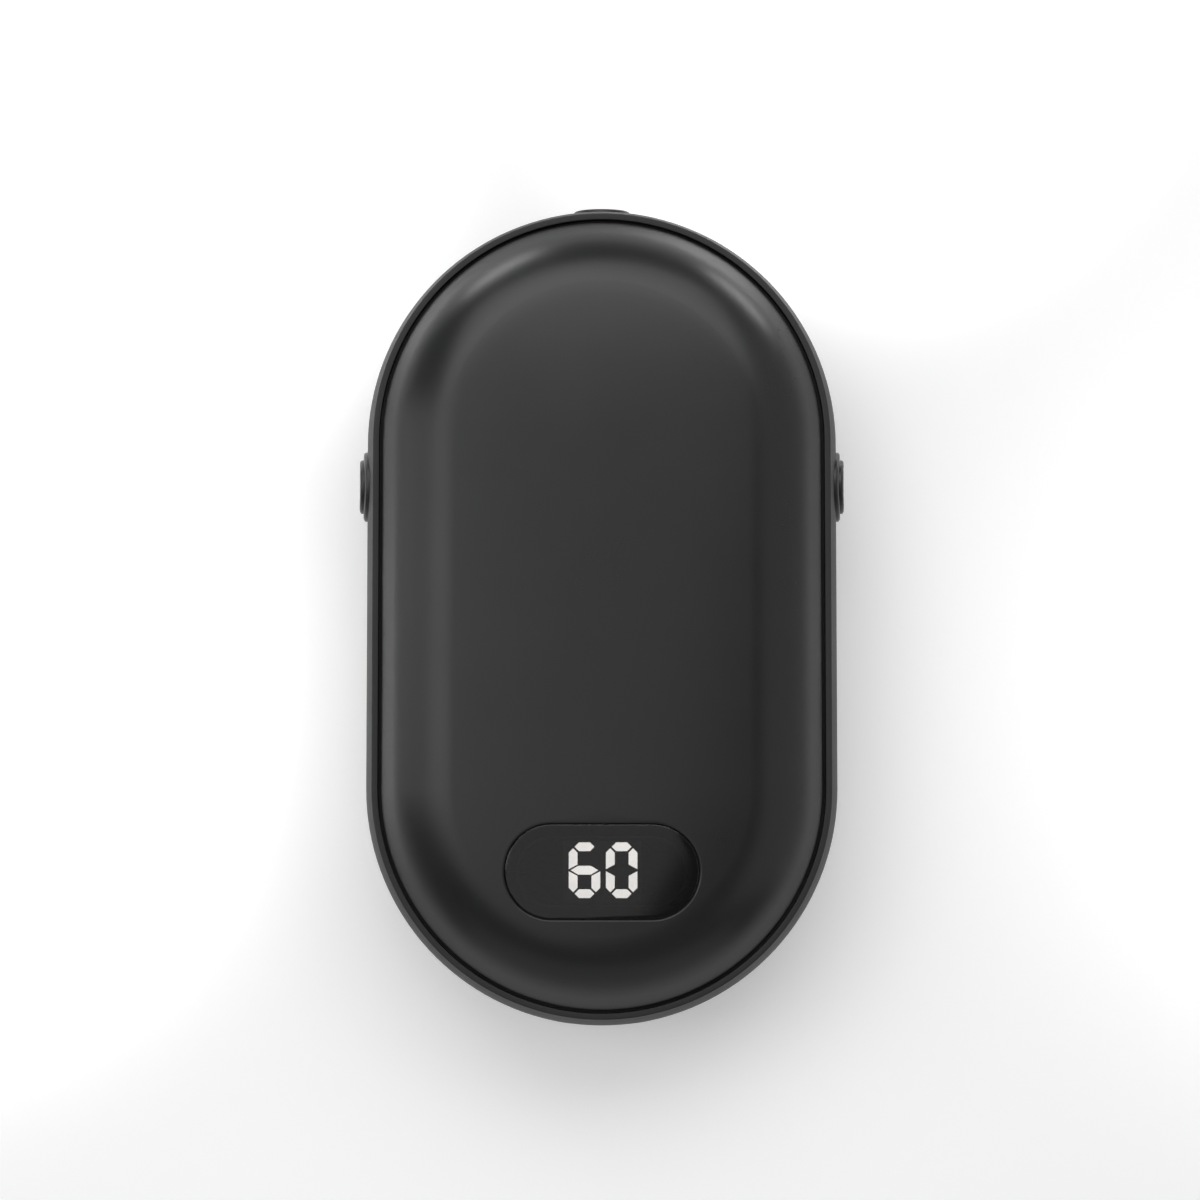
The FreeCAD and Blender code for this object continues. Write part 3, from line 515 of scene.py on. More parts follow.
def frame_profile():
    """Closed profile of the frame from the foot of its outer wall: the bulge, the upper lip's rounded edges
    and land, the seam wall, the ledge, the inner wall and the same on the lower side. Also the rows that the
    holes take."""
    outer = np.linspace(-LIP_BASE, LIP_BASE, REGION_STEPS + 1)
    points = [(bulge(w), w) for w in outer]
    wall_lean = math.asin(LIP_BASE / BULGE_RADIUS)
    lip = [(RIM_EDGE - RIM_ROUND * (1 - math.cos(turn)), LIP_BASE + RIM_ROUND * math.sin(turn))
           for turn in np.linspace(wall_lean, math.pi / 2, LIP_ROUND_STEPS + 1)]
    lip += [(SEAM_OUTER + SEAM_ROUND * (1 - math.sin(turn)), RIM_HALF - SEAM_ROUND * (1 - math.cos(turn)))
            for turn in np.linspace(0, math.pi / 2, SEAM_ROUND_STEPS + 1)]
    upper = lip + [(SEAM_OUTER, LEDGE), (FRAME_INNER, LEDGE)]
    inner_start = len(points) + len(upper)
    inner = np.linspace(INNER_HALF, -INNER_HALF, REGION_STEPS - 1)
    points += upper
    points += [(FRAME_INNER, w) for w in inner]
    points += [(r, -w) for r, w in reversed(upper)]
    outer_rows = np.arange(1, REGION_STEPS)
    inner_rows = np.arange(inner_start + REGION_STEPS - 2, inner_start - 1, -1)
    return points, outer_rows, inner_rows


def boss_patches():
    """Board bosses, a pair in each row: a post with a screw hole, turned about its axis, and a web with four
    corners that runs out from it into the frame's wall."""
    profile = [(0.0, BOSS_FOOT), (BOSS_RADIUS, BOSS_FOOT), (BOSS_RADIUS, BOSS_TOP),
               (PILOT_RADIUS, BOSS_TOP), (PILOT_RADIUS, PILOT_FLOOR), (0.0, PILOT_FLOOR)]
    angle = np.linspace(0, 2 * math.pi, TURN_STEPS, endpoint=False)
    across = WEB_HALF * np.array([-1, 1, 1, -1])
    middle = (WEB_FOOT + BOSS_TOP) / 2
    up = (BOSS_TOP - WEB_FOOT) / 2 * np.array([-1, -1, 1, 1])
    patches = []
    for side in (1, -1):
        for y in BOSS_ROWS:
            foot = min(max(y, -END_Y), END_Y)
            out_y = (y - foot) / BOSS_REACH
            out_x = side * math.sqrt(1 - out_y ** 2)
            x = BOSS_REACH * out_x
            post = [place_points(x + r * np.cos(angle), y + r * np.sin(angle), MID_Z + w) for r, w in profile]
            web = []
            for reach, part in ((WEB_START, 0), (WEB_START, 1), (WEB_END, 1), (WEB_END, 0)):
                web_x = reach * out_x - part * across * out_y
                web_y = foot + reach * out_y + part * across * out_x
                web.append(place_points(web_x, web_y, MID_Z + middle + part * up))
            patches += [skin(post), skin(web)]
    return patches


def middle_frame_patches():
    """Frame as its profile carried round the stations, with the blocks of faces at the holes taken out and a
    wall patch set into each, and the board bosses inside."""
    station, columns = frame_stations()
    profile, outer_rows, inner_rows = frame_profile()
    grid = np.stack([station_ring(station, r, w) for r, w in profile])
    faces = grid_faces(grid.shape[0], grid.shape[1], close_rows=True)
    kept = np.ones(faces.shape[:2], bool)
    patches = []
    for place, taken in columns.items():
        kept[np.ix_(outer_rows[:-1], taken[:-1])] = False
        kept[np.ix_(inner_rows[1:], taken[:-1])] = False
        outer_loop = loop_round(grid, outer_rows, taken)
        inner_loop = loop_round(grid, inner_rows, taken)
        patches.append(hole_patch(place, outer_loop, inner_loop))
    patches.append((grid.reshape(-1, 3), faces[kept]))
    return patches + boss_patches()


def turned(place, profile):
    """Rings turned about a button's axis: each row gives a radius and a depth, or a rule for the depth over
    the face from the distance across and the height."""
    angle = np.linspace(0, 2 * math.pi, TURN_STEPS, endpoint=False)
    rings = []
    for radius, depth in profile:
        t = radius * np.cos(angle)
        w = radius * np.sin(angle)
        rings.append(at_hole(place, t, depth(t, w) if callable(depth) else depth, w))
    return rings


def rounded_rows(radius, face, edge_round, outwards=True):
    """Rows round the edge where a wall meets a face: a quarter round on the wall's own side."""
    rows = []
    way = 1 if outwards else -1
    for turn in np.linspace(0, math.pi / 2, ROUND_STEPS + 1):
        inset = way * edge_round * (1 - math.cos(turn))
        drop = edge_round * (1 - math.sin(turn))
        rows.append((radius - inset, lambda t, w, drop=drop: face(t, w) - drop))
    return rows


def ring_patch(place):
    """Button ring: a face that follows the frame's bulge, rounded edges, and a neck through the frame."""
    def face(t, w):
        return outer_depth(place, t, w, RING_RISE)

    rows = [(RING_NECK, FRAME_INNER), (RING_NECK, SEAT), (RING_RADIUS, SEAT)]
    rows += rounded_rows(RING_RADIUS, face, CAP_ROUND)
    rows += list(reversed(rounded_rows(RING_BORE, face, CAP_ROUND / 2, outwards=False)))
    rows.append((RING_BORE, FRAME_INNER))
    return skin(turned(place, rows), close_rows=True)


def soft_lower(a, b, blend):
    """The lower of two surfaces with the crease between them rounded."""
    return (a + b - np.sqrt((a - b) ** 2 + blend ** 2)) / 2


def cap_rows(face, radius, flange, edge_round):
    """Rows of a cap from its stem's end to the middle of its face."""
    rows = [(0.0, STEM_END), (STEM_RADIUS - TIP_ROUND, STEM_END), (STEM_RADIUS, STEM_END + TIP_ROUND)]
    rows += [(STEM_RADIUS, FLANGE_BACK), (flange, FLANGE_BACK), (flange, FLANGE_FACE), (radius, FLANGE_FACE)]
    rows += rounded_rows(radius, face, edge_round)
    rows += [(part * (radius - edge_round), face) for part in np.linspace(1, 0, CAP_FACE_STEPS + 1)[1:]]
    return rows


def side_cap_patch(place):
    """Side cap: its face follows the frame's bulge and is dished by a large ball for a fingertip."""
    dish_radius = (DISH_HALF ** 2 + DISH_DEPTH ** 2) / (2 * DISH_DEPTH)
    dish_centre = END_RADIUS + SIDE_CAP_RISE - DISH_DEPTH + dish_radius

    def face(t, w):
        ball = dish_centre - np.sqrt(dish_radius ** 2 - t ** 2 - w ** 2)
        return soft_lower(outer_depth(place, t, w, SIDE_CAP_RISE), ball, DISH_BLEND)

    return skin(turned(place, cap_rows(face, SIDE_CAP_RADIUS, SIDE_FLANGE, CAP_ROUND)))


def power_cap_patch():
    """Power cap: its face follows the frame's round end, with a low ball-shaped pip in the middle."""
    pip_radius = (PIP_HALF ** 2 + PIP_RISE ** 2) / (2 * PIP_RISE)
    pip_centre = END_RADIUS + POWER_CAP_RISE + PIP_RISE - pip_radius

    def face(t, w):
        pip = pip_centre + np.sqrt(np.maximum(pip_radius ** 2 - t ** 2 - w ** 2, 0))
        return -soft_lower(-outer_depth("power", t, w, POWER_CAP_RISE), -pip, PIP_BLEND)

    rows = cap_rows(face, POWER_CAP_RADIUS, POWER_FLANGE, POWER_CAP_ROUND)
    return skin(turned("power", rows))


def window_patch():
    """Window as pill rings about its middle: a flat back on the ledge, upright walls, a small rounded edge
    and a face that follows the crown just below it."""
    angle = np.linspace(0, 2 * math.pi, 2 * TURN_STEPS, endpoint=False)
    ball_z = FRONT_Z - CROWN_RADIUS - WINDOW_RECESS

    def ring(inset, z=None, drop=0.0, part=1.0):
        reach = part * pill_reach(angle, (WINDOW[0] - 2 * inset, WINDOW[1] - 2 * inset))
        x = reach * np.cos(angle)
        y = DISPLAY_Y + reach * np.sin(angle)
        face = ball_z + np.sqrt(CROWN_RADIUS ** 2 - x ** 2 - (y + END_Y) ** 2)
        return place_points(x, y, face - drop if z is None else z)

    rings = [ring(0, WINDOW_SEAT, part=0.0), ring(0, WINDOW_SEAT)]
    for turn in np.linspace(0, math.pi / 2, WINDOW_ROUND_STEPS + 1):
        rings.append(ring(WINDOW_ROUND * (1 - math.cos(turn)), drop=WINDOW_ROUND * (1 - math.sin(turn))))
    rings += [ring(WINDOW_ROUND, part=part) for part in np.linspace(1, 0, WINDOW_STEPS + 1)[1:]]
    return skin(rings)


def shell_patch():
    """Charging socket's shell: a pill-shaped tube with a rounded mouth, open at both ends."""
    angle = np.linspace(0, 2 * math.pi, TURN_STEPS, endpoint=False)

    def ring(size, d):
        reach = pill_reach(angle, size)
        return at_hole("port", reach * np.cos(angle), d, reach * np.sin(angle))

    wall = (SHELL_OUTER[0] - SHELL_INNER[0]) / 2
    rings = [ring(SHELL_OUTER, SHELL_BACK)]
    for turn in np.linspace(0, math.pi, MOUTH_STEPS + 1):
        inset = wall * (1 - math.cos(turn))
        size = (SHELL_OUTER[0] - inset, SHELL_OUTER[1] - inset)
        rings.append(ring(size, SHELL_MOUTH - wall / 2 * (1 - math.sin(turn))))
    rings.append(ring(SHELL_INNER, SHELL_BACK))
    return skin(rings, close_rows=True)


# Shared effects of the finishes
def add_node(tree, kind, values=None, **settings):
    """Node of a kind with its settings and the plain values of its inputs."""
    node = tree.nodes.new(kind)
    for key, value in settings.items():
        setattr(node, key, value)
    for key, value in (values or {}).items():
        node.inputs[key].default_value = value
    return node


def new_group(name, inputs, outputs):
    """Empty node group with its named sockets, and its two end nodes."""
    group = bpy.data.node_groups.new(name, "ShaderNodeTree")
    for key, kind in inputs.items():
        group.interface.new_socket(key, in_out="INPUT", socket_type=kind)
    for key, kind in outputs.items():
        group.interface.new_socket(key, in_out="OUTPUT", socket_type=kind)
    return group, group.nodes.new("NodeGroupInput"), group.nodes.new("NodeGroupOutput")


def moulded_skin_group():
    """Spark-eroded skin of a moulding: fine grain as a height, and soft clouds of sheen from 0 to 1."""
    group, start, end = new_group(
        "moulded_skin",
        {"Vector": "NodeSocketVector", "Grain Scale": "NodeSocketFloat", "Cloud Scale": "NodeSocketFloat"},
        {"Grain": "NodeSocketFloat", "Cloud": "NodeSocketFloat"},
    )
    grain = add_node(group, "ShaderNodeTexNoise", {"Detail": 2.0, "Roughness": 0.6})
    cloud = add_node(group, "ShaderNodeTexNoise", {"Detail": 3.0, "Roughness": 0.55})
    spread = add_node(group, "ShaderNodeMapRange", {"From Min": 0.3, "From Max": 0.7})
    group.links.new(start.outputs["Vector"], grain.inputs["Vector"])
    group.links.new(start.outputs["Vector"], cloud.inputs["Vector"])
    group.links.new(start.outputs["Grain Scale"], grain.inputs["Scale"])
    group.links.new(start.outputs["Cloud Scale"], cloud.inputs["Scale"])
    group.links.new(cloud.outputs["Fac"], spread.inputs["Value"])
    group.links.new(grain.outputs["Fac"], end.inputs["Grain"])
    group.links.new(spread.outputs["Result"], end.inputs["Cloud"])
    return group


def drawn_metal_group():
    """Drawn or rolled metal: streaks along one direction, from noise on a stretched vector."""
    group, start, end = new_group(
        "drawn_metal",
        {"Vector": "NodeSocketVector", "Stretch": "NodeSocketVector"},
        {"Streak": "NodeSocketFloat"},
    )
    stretched = add_node(group, "ShaderNodeVectorMath", operation="MULTIPLY")
    streak = add_node(group, "ShaderNodeTexNoise", {"Scale": 1.0, "Detail": 4.0, "Roughness": 0.65})
    group.links.new(start.outputs["Vector"], stretched.inputs[0])
    group.links.new(start.outputs["Stretch"], stretched.inputs[1])
    group.links.new(stretched.outputs["Vector"], streak.inputs["Vector"])
    group.links.new(streak.outputs["Fac"], end.inputs["Streak"])
    return group


def printed_track_group():
    """Printed tracks: a mask of bands that hardly wander, for copper on a board and conductors on a film."""
    group, start, end = new_group(
        "printed_track",
        {"Vector": "NodeSocketVector", "Pitch Scale": "NodeSocketFloat", "Width": "NodeSocketFloat"},
        {"Track": "NodeSocketFloat"},
    )
    bands = add_node(group, "ShaderNodeTexWave", {"Distortion": 0.8, "Detail": 1.0}, wave_type="BANDS",
                     bands_direction="X")
    track = add_node(group, "ShaderNodeMath", operation="LESS_THAN")
    group.links.new(start.outputs["Vector"], bands.inputs["Vector"])
    group.links.new(start.outputs["Pitch Scale"], bands.inputs["Scale"])
    group.links.new(bands.outputs["Fac"], track.inputs[0])
    group.links.new(start.outputs["Width"], track.inputs[1])
    group.links.new(track.outputs["Value"], end.inputs["Track"])
    return group


MOULDED_SKIN = moulded_skin_group()
DRAWN_METAL = drawn_metal_group()
PRINTED_TRACK = printed_track_group()


# Finishes
MIX_LOW = 6                 # colour sockets of Blender's mix node
MIX_HIGH = 7
MIX_RESULT = 2


def new_finish(name):
    """Material with its shader and a texture coordinate node."""
    material = bpy.data.materials.new(name)
    material.use_nodes = True
    tree = material.node_tree
    return material, tree, tree.nodes["Principled BSDF"], add_node(tree, "ShaderNodeTexCoord")


def place_group(tree, group, coordinate, values):
    """A shared effect placed in a material on its object coordinates, with its own values."""
    node = add_node(tree, "ShaderNodeGroup", node_tree=group)
    for key, value in values.items():
        node.inputs[key].default_value = value
    tree.links.new(coordinate.outputs["Object"], node.inputs["Vector"])
    return node


def mixed_colour(tree, mask, low, high):
    """Colour that goes from low to high with a mask."""
    mix = add_node(tree, "ShaderNodeMix", data_type="RGBA")
    tree.links.new(mask, mix.inputs["Factor"])
    mix.inputs[MIX_LOW].default_value = (*low, 1.0)
    mix.inputs[MIX_HIGH].default_value = (*high, 1.0)
    return mix.outputs[MIX_RESULT]


def ranged(tree, mask, low, high):
    """Value that goes from low to high with a mask."""
    node = add_node(tree, "ShaderNodeMapRange", {"To Min": low, "To Max": high})
    tree.links.new(mask, node.inputs["Value"])
    return node.outputs["Result"]


def bumped(tree, shader, height, depth):
    """Surface normal from a height that is a real depth in metres at 1."""
    bump = add_node(tree, "ShaderNodeBump", {"Strength": 1.0, "Distance": depth})
    tree.links.new(height, bump.inputs["Height"])
    tree.links.new(bump.outputs["Normal"], shader.inputs["Normal"])


def moulded(name, low, high, rough, grain_scale=5200.0, grain_depth=6e-6):
    """Moulded plastic, rubber or foam: clouded colour and gloss, and a grain of its own fineness."""
    material, tree, shader, coordinate = new_finish(name)
    skin_node = place_group(tree, MOULDED_SKIN, coordinate, {"Grain Scale": grain_scale, "Cloud Scale": 60.0})
    cloud = skin_node.outputs["Cloud"]
    tree.links.new(mixed_colour(tree, cloud, low, high), shader.inputs["Base Color"])
    tree.links.new(ranged(tree, cloud, *rough), shader.inputs["Roughness"])
    bumped(tree, shader, skin_node.outputs["Grain"], grain_depth)
    return material


def metal(name, low, high, rough, stretch, streak_depth=2e-6):
    """Bare metal with streaks in its colour, gloss and surface."""
    material, tree, shader, coordinate = new_finish(name)
    shader.inputs["Metallic"].default_value = 1.0
    streaks = place_group(tree, DRAWN_METAL, coordinate, {"Stretch": stretch})
    streak = streaks.outputs["Streak"]
    tree.links.new(mixed_colour(tree, streak, low, high), shader.inputs["Base Color"])
    tree.links.new(ranged(tree, streak, *rough), shader.inputs["Roughness"])
    bumped(tree, shader, streak, streak_depth)
    return material


def printed(name, ground, track_colour, rough, pitch_scale, width, track_depth):
    """Coated sheet with raised printed tracks under its coat."""
    material, tree, shader, coordinate = new_finish(name)
    tracks = place_group(tree, PRINTED_TRACK, coordinate, {"Pitch Scale": pitch_scale, "Width": width})
    skin_node = place_group(tree, MOULDED_SKIN, coordinate, {"Grain Scale": 3000.0, "Cloud Scale": 150.0})
    track = tracks.outputs["Track"]
    tree.links.new(mixed_colour(tree, track, ground, track_colour), shader.inputs["Base Color"])
    tree.links.new(ranged(tree, skin_node.outputs["Cloud"], *rough), shader.inputs["Roughness"])
    bumped(tree, shader, track, track_depth)
    return material


def smoked_window():
    """Smoked clear plastic, polished, with faint wiping marks in its gloss."""
    material, tree, shader, coordinate = new_finish("smoked_window")
    shader.inputs["Transmission Weight"].default_value = 1.0
    shader.inputs["IOR"].default_value = 1.49
    skin_node = place_group(tree, MOULDED_SKIN, coordinate, {"Grain Scale": 800.0, "Cloud Scale": 120.0})
    cloud = skin_node.outputs["Cloud"]
    smoke = mixed_colour(tree, cloud, (0.07, 0.067, 0.064), (0.08, 0.077, 0.073))
    tree.links.new(smoke, shader.inputs["Base Color"])
    tree.links.new(ranged(tree, cloud, 0.1, 0.13), shader.inputs["Roughness"])
    return material


def lit_digits():
    """Milky segments lit from behind, a little uneven in brightness."""
    material, tree, shader, coordinate = new_finish("lit_digits")
    shader.inputs["Emission Strength"].default_value = 11.0
    skin_node = place_group(tree, MOULDED_SKIN, coordinate, {"Grain Scale": 2500.0, "Cloud Scale": 260.0})
    cloud = skin_node.outputs["Cloud"]
    milk = mixed_colour(tree, cloud, (0.78, 0.8, 0.82), (0.86, 0.87, 0.88))
    tree.links.new(milk, shader.inputs["Base Color"])
    glow = mixed_colour(tree, cloud, (0.9, 0.92, 0.95), (1.0, 1.0, 1.0))
    tree.links.new(glow, shader.inputs["Emission Color"])
    tree.links.new(ranged(tree, cloud, 0.3, 0.4), shader.inputs["Roughness"])
    return material


ALONG_Y = (900.0, 40.0, 900.0)  # how a metal's streaks are stretched
ALL_WAYS = (700.0, 700.0, 700.0)
CRUMPLED = (60.0, 60.0, 60.0)
FINISHES = {
    "casing": moulded("soft_touch_casing", (0.0082, 0.0085, 0.0093), (0.0102, 0.0105, 0.0114), (0.27, 0.32)),
    "rim": moulded("spark_eroded_rim", (0.0105, 0.0105, 0.0109), (0.0125, 0.0125, 0.013), (0.55, 0.62)),
    "button": moulded("soft_touch_button", (0.011, 0.011, 0.0114), (0.013, 0.013, 0.0135), (0.3, 0.35)),
    "window": smoked_window(),
    "gasket": moulded("black_rubber", (0.006, 0.006, 0.006), (0.009, 0.009, 0.009), (0.7, 0.8)),
    "foam": moulded("black_foam", (0.01, 0.01, 0.01), (0.018, 0.018, 0.018), (0.9, 1.0), 2600.0, 6e-5),
    "display_body": moulded("display_black", (0.008, 0.008, 0.008), (0.011, 0.011, 0.011), (0.5, 0.6)),
    "lit_segment": lit_digits(),
    "unlit_segment": moulded("unlit_digits", (0.012, 0.012, 0.012), (0.016, 0.016, 0.016), (0.4, 0.5)),
    "switch": moulded("switch_black", (0.02, 0.02, 0.02), (0.028, 0.028, 0.028), (0.45, 0.55)),
    "plunger": moulded("plunger_ivory", (0.52, 0.49, 0.41), (0.6, 0.57, 0.49), (0.4, 0.5)),
    "board": printed("green_board", (0.006, 0.055, 0.022), (0.02, 0.13, 0.05), (0.3, 0.4), 160.0, 0.3, 2e-5),
    "steel": metal("drawn_steel", (0.42, 0.42, 0.43), (0.62, 0.62, 0.63), (0.25, 0.38), ALONG_Y),
    "tongue": moulded("socket_black", (0.012, 0.012, 0.012), (0.018, 0.018, 0.018), (0.5, 0.6)),
    "ferrite": moulded("ferrite_grey", (0.05, 0.05, 0.052), (0.08, 0.08, 0.082), (0.6, 0.75), 3000.0, 3e-5),
    "chip": moulded("chip_black", (0.014, 0.014, 0.014), (0.02, 0.02, 0.02), (0.5, 0.6), 4000.0, 1e-5),
    "capacitor": metal("capacitor_can", (0.6, 0.6, 0.61), (0.75, 0.75, 0.76), (0.25, 0.35), ALL_WAYS),
    "heat_plate": metal("rolled_aluminium", (0.62, 0.62, 0.64), (0.78, 0.78, 0.8), (0.3, 0.42), ALONG_Y),
    "film": printed("amber_film", (0.32, 0.11, 0.015), (0.5, 0.22, 0.05), (0.2, 0.3), 120.0, 0.45, 2e-5),
    "pouch": metal("foil_pouch", (0.5, 0.51, 0.53), (0.66, 0.67, 0.69), (0.3, 0.5), CRUMPLED, 8e-5),
    "lead": moulded("red_insulation", (0.24, 0.012, 0.012), (0.32, 0.02, 0.018), (0.4, 0.5)),
}
for node_name, node_object in nodes.items():
    node_object.data.materials.clear()
    node_object.data.materials.append(FINISHES[SLOT_OF[node_name]])

# Pieces that stand for the solids with smooth surfaces
make_piece("moulded_front_cover", [front_cover_patch()], "front_cover", FINISHES["casing"])
make_piece("moulded_rear_cover", [rear_cover_patch()], "rear_cover", FINISHES["casing"])
make_piece("moulded_middle_frame", middle_frame_patches(), "middle_frame", FINISHES["rim"])
for side_name in ("left", "right"):
    ring_node = side_name + "_button_ring"
    cap_node = side_name + "_button_cap"
    make_piece("moulded_" + ring_node, [ring_patch(side_name)], ring_node, FINISHES["button"])
    make_piece("moulded_" + cap_node, [side_cap_patch(side_name)], cap_node, FINISHES["button"])
make_piece("moulded_power_button_cap", [power_cap_patch()], "power_button_cap", FINISHES["button"])
make_piece("moulded_display_window", [window_patch()], "display_window", FINISHES["window"])
make_piece("formed_usb_shell", [shell_patch()], "usb_shell", FINISHES["steel"])


# Floor, light and camera
FLOOR_RADIUS = 4.0
FLOOR_GAP = 0.00002         # below the flat back
FLOOR_GLOW = 0.25
FLOOR_FAR_GLOW = 0.85
FLOOR_NEAR = 0.15           # distances between which the glow grows
FLOOR_FAR = 0.9
ROOM_FILL = 0.16
HORIZON_FILL = 0.45
HORIZON_HEIGHT = 0.25       # as the sine of its elevation


def make_floor():
    """White floor disc: diffuse for light, with a little glow where it is seen, so that it reads as white
    and keeps the object's shadow. The glow grows with the distance from the middle, past the lamps."""
    material, tree, shader, coordinate = new_finish("white_floor")
    skin_node = place_group(tree, MOULDED_SKIN, coordinate, {"Grain Scale": 900.0, "Cloud Scale": 3.0})
    white = mixed_colour(tree, skin_node.outputs["Cloud"], (0.87, 0.87, 0.87), (0.9, 0.9, 0.9))
    tree.links.new(white, shader.inputs["Base Color"])
    shader.inputs["Roughness"].default_value = 0.9
    shader.inputs["Specular IOR Level"].default_value = 0.0
    path = add_node(tree, "ShaderNodeLightPath")
    glow = add_node(tree, "ShaderNodeEmission")
    distance = add_node(tree, "ShaderNodeVectorMath", operation="LENGTH")
    fade = add_node(tree, "ShaderNodeMapRange", {
        "From Min": FLOOR_NEAR, "From Max": FLOOR_FAR, "To Min": FLOOR_GLOW, "To Max": FLOOR_FAR_GLOW,
    }, interpolation_type="SMOOTHSTEP")
    tree.links.new(coordinate.outputs["Object"], distance.inputs[0])
    tree.links.new(distance.outputs["Value"], fade.inputs["Value"])
    tree.links.new(fade.outputs["Result"], glow.inputs["Strength"])
    both = add_node(tree, "ShaderNodeAddShader")
    seen = add_node(tree, "ShaderNodeMath", operation="MAXIMUM")
    seen_through = add_node(tree, "ShaderNodeMath", operation="MAXIMUM")
    choice = add_node(tree, "ShaderNodeMixShader")
    output = tree.nodes["Material Output"]
    tree.links.new(path.outputs["Is Camera Ray"], seen.inputs[0])
    tree.links.new(path.outputs["Is Glossy Ray"], seen.inputs[1])
    tree.links.new(seen.outputs["Value"], seen_through.inputs[0])
    tree.links.new(path.outputs["Is Transmission Ray"], seen_through.inputs[1])
    tree.links.new(shader.outputs["BSDF"], both.inputs[0])
    tree.links.new(glow.outputs["Emission"], both.inputs[1])
    tree.links.new(seen_through.outputs["Value"], choice.inputs["Fac"])
    tree.links.new(shader.outputs["BSDF"], choice.inputs[1])
    tree.links.new(both.outputs["Shader"], choice.inputs[2])
    tree.links.new(choice.outputs["Shader"], output.inputs["Surface"])
    angle = np.linspace(0, 2 * math.pi, TURN_STEPS, endpoint=False)
    rim = np.stack([np.cos(angle), np.sin(angle), np.zeros_like(angle)], axis=-1) * FLOOR_RADIUS
    rim[:, 2] = -FLOOR_GAP
    mesh = bpy.data.meshes.new("floor")
    mesh.from_pydata(rim.tolist(), [], [list(range(TURN_STEPS))])
    mesh.materials.append(material)
    floor = bpy.data.objects.new("floor", mesh)
    bpy.context.scene.collection.objects.link(floor)


def make_world():
    """Even pale room: a plain grey that grows lighter towards the horizon."""
    world = bpy.data.worlds.new("pale_room")
    world.use_nodes = True
    bpy.context.scene.world = world
    tree = world.node_tree
    background = tree.nodes["Background"]
    background.inputs["Color"].default_value = (1.0, 1.0, 1.0, 1.0)
    coordinate = add_node(tree, "ShaderNodeTexCoord")
    direction = add_node(tree, "ShaderNodeSeparateXYZ")
    fade = add_node(tree, "ShaderNodeMapRange", {
        "From Min": 0.0, "From Max": HORIZON_HEIGHT, "To Min": HORIZON_FILL, "To Max": ROOM_FILL,
    }, interpolation_type="SMOOTHSTEP")
    tree.links.new(coordinate.outputs["Generated"], direction.inputs["Vector"])
    tree.links.new(direction.outputs["Z"], fade.inputs["Value"])
    tree.links.new(fade.outputs["Result"], background.inputs["Strength"])


def hang(name, data, place, aim):
    """Lamp or camera at a place, facing a point."""
    holder = bpy.data.objects.new(name, data)
    holder.location = place
    holder.rotation_euler = (Vector(aim) - Vector(place)).to_track_quat("-Z", "Y").to_euler()
    bpy.context.scene.collection.objects.link(holder)
    return holder


def softbox(name, place, size, brightness, turn=0.0, aim=(0.0, 0.0, 0.012)):
    """Rectangular lamp facing the object. Its power is its brightness times pi times its area."""
    lamp = bpy.data.lights.new(name, "AREA")
    lamp.shape = "RECTANGLE"
    lamp.size, lamp.size_y = size
    lamp.energy = brightness * math.pi * size[0] * size[1]
    holder = hang(name, lamp, place, aim)
    holder.rotation_euler.rotate_axis("Z", math.radians(turn))
    holder.visible_camera = False


def floor_light(name, place, aim, cone, brightness):
    """Round soft-edged lamp on a patch of the floor beside the object, which mirrors it. Its power follows
    from the brightness that it adds to a white floor, with the fall-off over its distance and its slant."""
    lamp = bpy.data.lights.new(name, "SPOT")
    lamp.spot_size = math.radians(cone)
    lamp.spot_blend = 1.0
    lamp.shadow_soft_size = 0.02
    beam = Vector(aim) - Vector(place)
    slant = -beam.z / beam.length
    lamp.energy = brightness * 4 * math.pi ** 2 * beam.length ** 2 / slant
    hang(name, lamp, place, aim).visible_camera = False


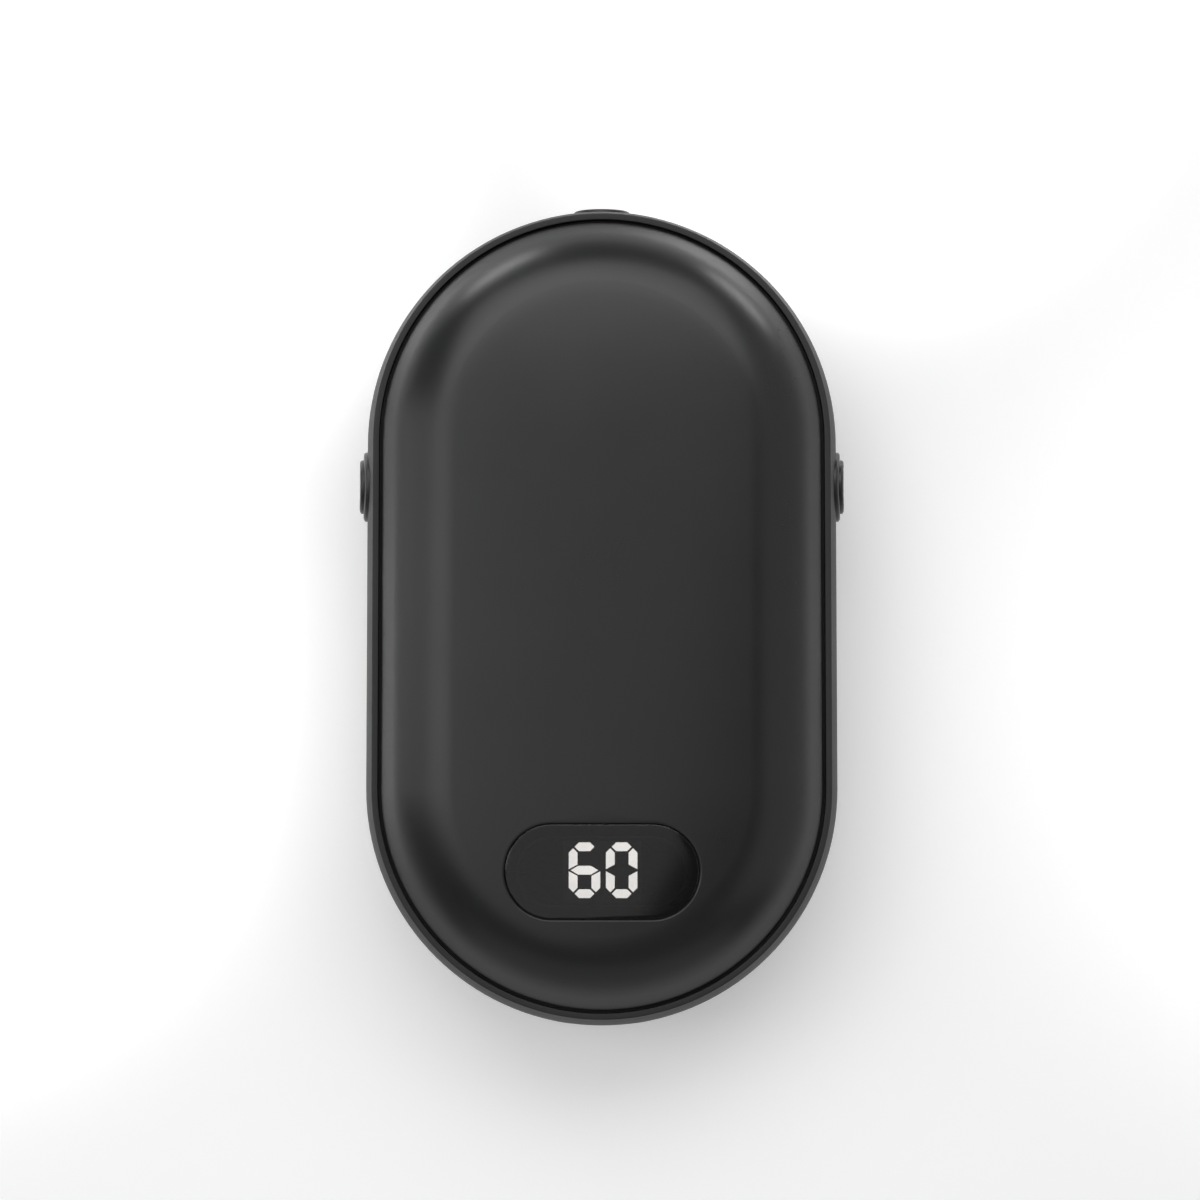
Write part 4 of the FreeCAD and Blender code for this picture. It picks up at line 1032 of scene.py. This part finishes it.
make_floor()
make_world()
softbox("overhead_softbox", place=(-0.127, 0.128, 0.5), size=(0.553, 0.75), brightness=0.57, turn=-29.2,
        aim=(-0.127, 0.128, 0.0))
softbox("far_softbox", place=(-0.03, 0.4, 0.48), size=(0.8, 0.4), brightness=1.8)
softbox("left_softbox", place=(-0.6, 0.08, 0.48), size=(0.3, 1.0), brightness=1.2)
softbox("near_softbox", place=(0.0, -0.7, 0.25), size=(1.2, 0.5), brightness=0.3)
softbox("right_softbox", place=(0.66, 0.05, 0.44), size=(1.1, 0.78), brightness=0.4)
softbox("far_left_strip", place=(-0.345, 0.666, 0.07), size=(0.26, 0.12), brightness=8.0)
softbox("far_right_strip", place=(0.472, 0.583, 0.06), size=(0.26, 0.1), brightness=8.0)
floor_light("left_floor_light", place=(-0.35, 0.0, 0.7), aim=(-0.1, -0.005, 0.0), cone=9.0, brightness=1.5)
floor_light("right_floor_light", place=(0.35, 0.0, 0.7), aim=(0.11, -0.01, 0.0), cone=10.0, brightness=0.35)
floor_light("far_left_floor_light", place=(-0.35, 0.45, 0.6), aim=(-0.066, 0.07, 0.0), cone=5.0,
            brightness=2.4)
floor_light("far_right_floor_light", place=(0.3, 0.55, 0.6), aim=(0.04, 0.092, 0.0), cone=5.0,
            brightness=3.0)

# The camera stands almost straight above, an arm's length off. Its sizes are millimetres too
PICTURE_WIDTH = 153.6       # that the picture shows of the mid plane
CAMERA_X = -0.23
CAMERA_Y = -27.5
CAMERA_RISE = 420.0         # above the mid plane
TARGET_Y = 2.1
camera_place = Vector((CAMERA_X, CAMERA_Y, MID_Z + CAMERA_RISE)) * MM
camera_target = Vector((CAMERA_X, TARGET_Y, MID_Z)) * MM
camera_data = bpy.data.cameras.new("camera")
camera_data.sensor_width = 36.0
camera_data.lens = camera_data.sensor_width * (camera_target - camera_place).length / (PICTURE_WIDTH * MM)
camera_data.clip_end = 10.0
bpy.context.scene.camera = hang("camera", camera_data, camera_place, camera_target)
bpy.context.scene.view_settings.view_transform = "Standard"
